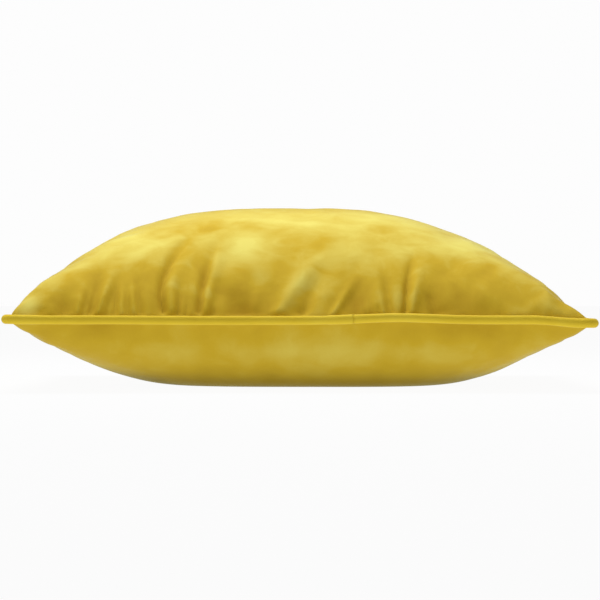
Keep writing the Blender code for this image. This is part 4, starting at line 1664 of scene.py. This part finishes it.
    def _pull(self, metal: bpy.types.Material) -> None:
        """The pull: a flat tab with a window round the arch and a long hole near its end."""
        bm = bmesh.new()
        bar = self.pull_thickness / 2
        half = self.pull_width / 2
        loops = [
            (half, -bar + half, self.pull_length - half, True),
            (self.window_radius, bar + self.window_radius, self.window_end, False),
            (self.hole_radius, *self.hole_span, False),
        ]
        edges = []
        for radius, start, end, squared in loops:
            ring = bmesh.ops.create_circle(bm, segments=32, radius=radius)["verts"]
            for vert in ring:
                angle = math.atan2(vert.co.y, vert.co.x)
                if squared and angle < 0:
                    vert.co.x = math.copysign(min(half, abs(vert.co.x) * 1.5), vert.co.x)
                    vert.co.y = max(-half, vert.co.y * 1.5)
                vert.co.y += end if vert.co.y >= -1e-7 else start
            edges += list({edge for vert in ring for edge in vert.link_edges})
        flat = bmesh.ops.triangle_fill(bm, use_beauty=True, edges=edges)["geom"]
        faces = [item for item in flat if isinstance(item, bmesh.types.BMFace)]
        raised = verts_of(bmesh.ops.extrude_face_region(bm, geom=faces)["geom"])
        bmesh.ops.translate(bm, vec=(0, 0, self.pull_thickness), verts=raised)
        bmesh.ops.translate(bm, vec=(0, 0, -bar), verts=bm.verts)
        bmesh.ops.recalc_face_normals(bm, faces=bm.faces)
        sharp = [e for e in bm.edges if len(e.link_faces) == 2 and e.calc_face_angle(0) > self.rim_angle]
        round_edges(bm, sharp, self.rim_round)
        upright = Matrix(((0, 0, 1, 0), (1, 0, 0, 0), (0, 1, 0, 0), (0, 0, 0, 1)))
        stand = Matrix.Translation((0, 0, self.pivot)) @ upright
        bmesh.ops.transform(bm, matrix=stand, verts=bm.verts)
        shift = -self.half_length + self.slider_half
        pull = object_from("pull_tab", self._place(bm, shift), metal)
        settle(pull, Body.PULL, "zip_metal", "zip_pull_tab")


# ---- The pad and the labels -------------------------------------------------------------------------------


@dataclass
class Pad:
    """What is inside the cover: the cotton case, its filling and the two blank labels."""

    form: PillowForm
    skins: dict[Side, Skin]
    inset: float = 0.020
    lines: int = 81
    case_depth: float = 0.0030
    case_thickness: float = 0.0006
    case_allowance: float = 0.006
    case_edge: float = 0.00025
    filling_inset: float = 0.027
    filling_depth: float = 0.0046
    filling_edge: float = 0.0004
    edge_power: float = 12
    label_thickness: float = 0.00035
    label_slope: float = 0.75

    def build(self) -> None:
        """Makes the case, the filling and the labels."""
        cotton = Weave("case_cotton", (0.80, 0.79, 0.75), 0.0007).material()
        for side, name in ((Side.TOP, "top"), (Side.UNDER, "bottom")):
            bm = self._layer(side, self.inset, self.case_depth, self.case_edge)
            turn_in(bm, [e for e in bm.edges if e.is_boundary], 1 - self.case_allowance / self.form.half)
            lay_uv(bm)
            case = object_from(f"case_{name}", bm, cotton)
            thicken(case, self.case_thickness)
            settle(case, Body.CUSHION, "case_cotton", f"insert_case_{name}")
        self._filling()
        self._labels()

    def _layer(self, side: Side, inset: float, depth: float, edge: float) -> bmesh.types.BMesh:
        """Lays a grid at a depth inside the cover, closing to the seam's plane at its own edge.

        Args:
            side: The face.
            inset: How far its seam lies inside the cover's.
            depth: How far it lies under the cover's outer face.
            edge: How far its edge lies from the seam's plane.

        Returns:
            The mesh.
        """
        lines = edge_lines(self.lines)
        size = 1 - inset / self.form.half
        points = np.zeros((self.lines, self.lines, 3))
        for row, col in np.ndindex(self.lines, self.lines):
            u, v = lines[col] * size, lines[row] * size
            place = self.skins[side].inside(u, v, depth)
            seam = self.form.seam_height(place.x, place.y) + side.value * edge
            pinch = (1 - max(abs(lines[col]), abs(lines[row])) ** self.edge_power) ** 0.5
            out = max(0.0, (place.z - seam) * side.value)
            points[row, col] = (place.x, place.y, seam + side.value * out * pinch)
        return grid_mesh(Skin(side, lines, lines, points))[0]

    def _filling(self) -> None:
        """A closed lofty body of fibre between the halves of the case."""
        sizes = (self.filling_inset, self.filling_depth, self.filling_edge)
        upper, lower = (self._layer(side, *sizes) for side in (Side.TOP, Side.UNDER))
        mesh = bpy.data.meshes.new("lower_half")
        lower.to_mesh(mesh)
        lower.free()
        upper.from_mesh(mesh)
        bpy.data.meshes.remove(mesh)
        rims = [edge for edge in upper.edges if edge.is_boundary]
        bmesh.ops.bridge_loops(upper, edges=rims)
        bmesh.ops.recalc_face_normals(upper, faces=upper.faces)
        filling = object_from("fibre_filling", upper, Fibre().material())
        settle(filling, Body.CUSHION, "fibre", "insert_filling")

    def _labels(self) -> None:
        """Two blank satin labels: one in the cover behind the zip, one on the front of the case."""
        satin = Satin().material()
        top = self.skins[Side.TOP]
        spots = (
            ("cover_label", "care_label", 0.022, 0.208, (0.024, 0.020), 0.0017),
            ("pad_label", "insert_label", -0.022, -0.183, (0.022, 0.014), 0.0023),
        )
        for name, node, x, y, size, depth in spots:
            bm = bmesh.new()
            made = bmesh.ops.create_grid(bm, x_segments=12, y_segments=10, size=0.5)["verts"]
            bmesh.ops.scale(bm, vec=(size[0], size[1], 1), verts=made)
            lay_uv(bm)
            for vert in made:
                u, v = (x + vert.co.x) / self.form.half, (y + vert.co.y * self.label_slope) / self.form.half
                vert.co = top.inside(u, v, depth)
            label = object_from(name, bm, satin)
            thicken(label, self.label_thickness)
            settle(label, Body.CUSHION, "label", node)


# ---- Building ---------------------------------------------------------------------------------------------


def main() -> None:
    """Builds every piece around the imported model."""
    logging.basicConfig(level=logging.INFO, format="%(message)s")
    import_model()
    form = PillowForm.from_frame()
    Studio().build()
    skins = Cover(form).build()
    Piping(form).build()
    Zip(form).build()
    Pad(form, skins).build()


if __name__ == "__main__":
    main()
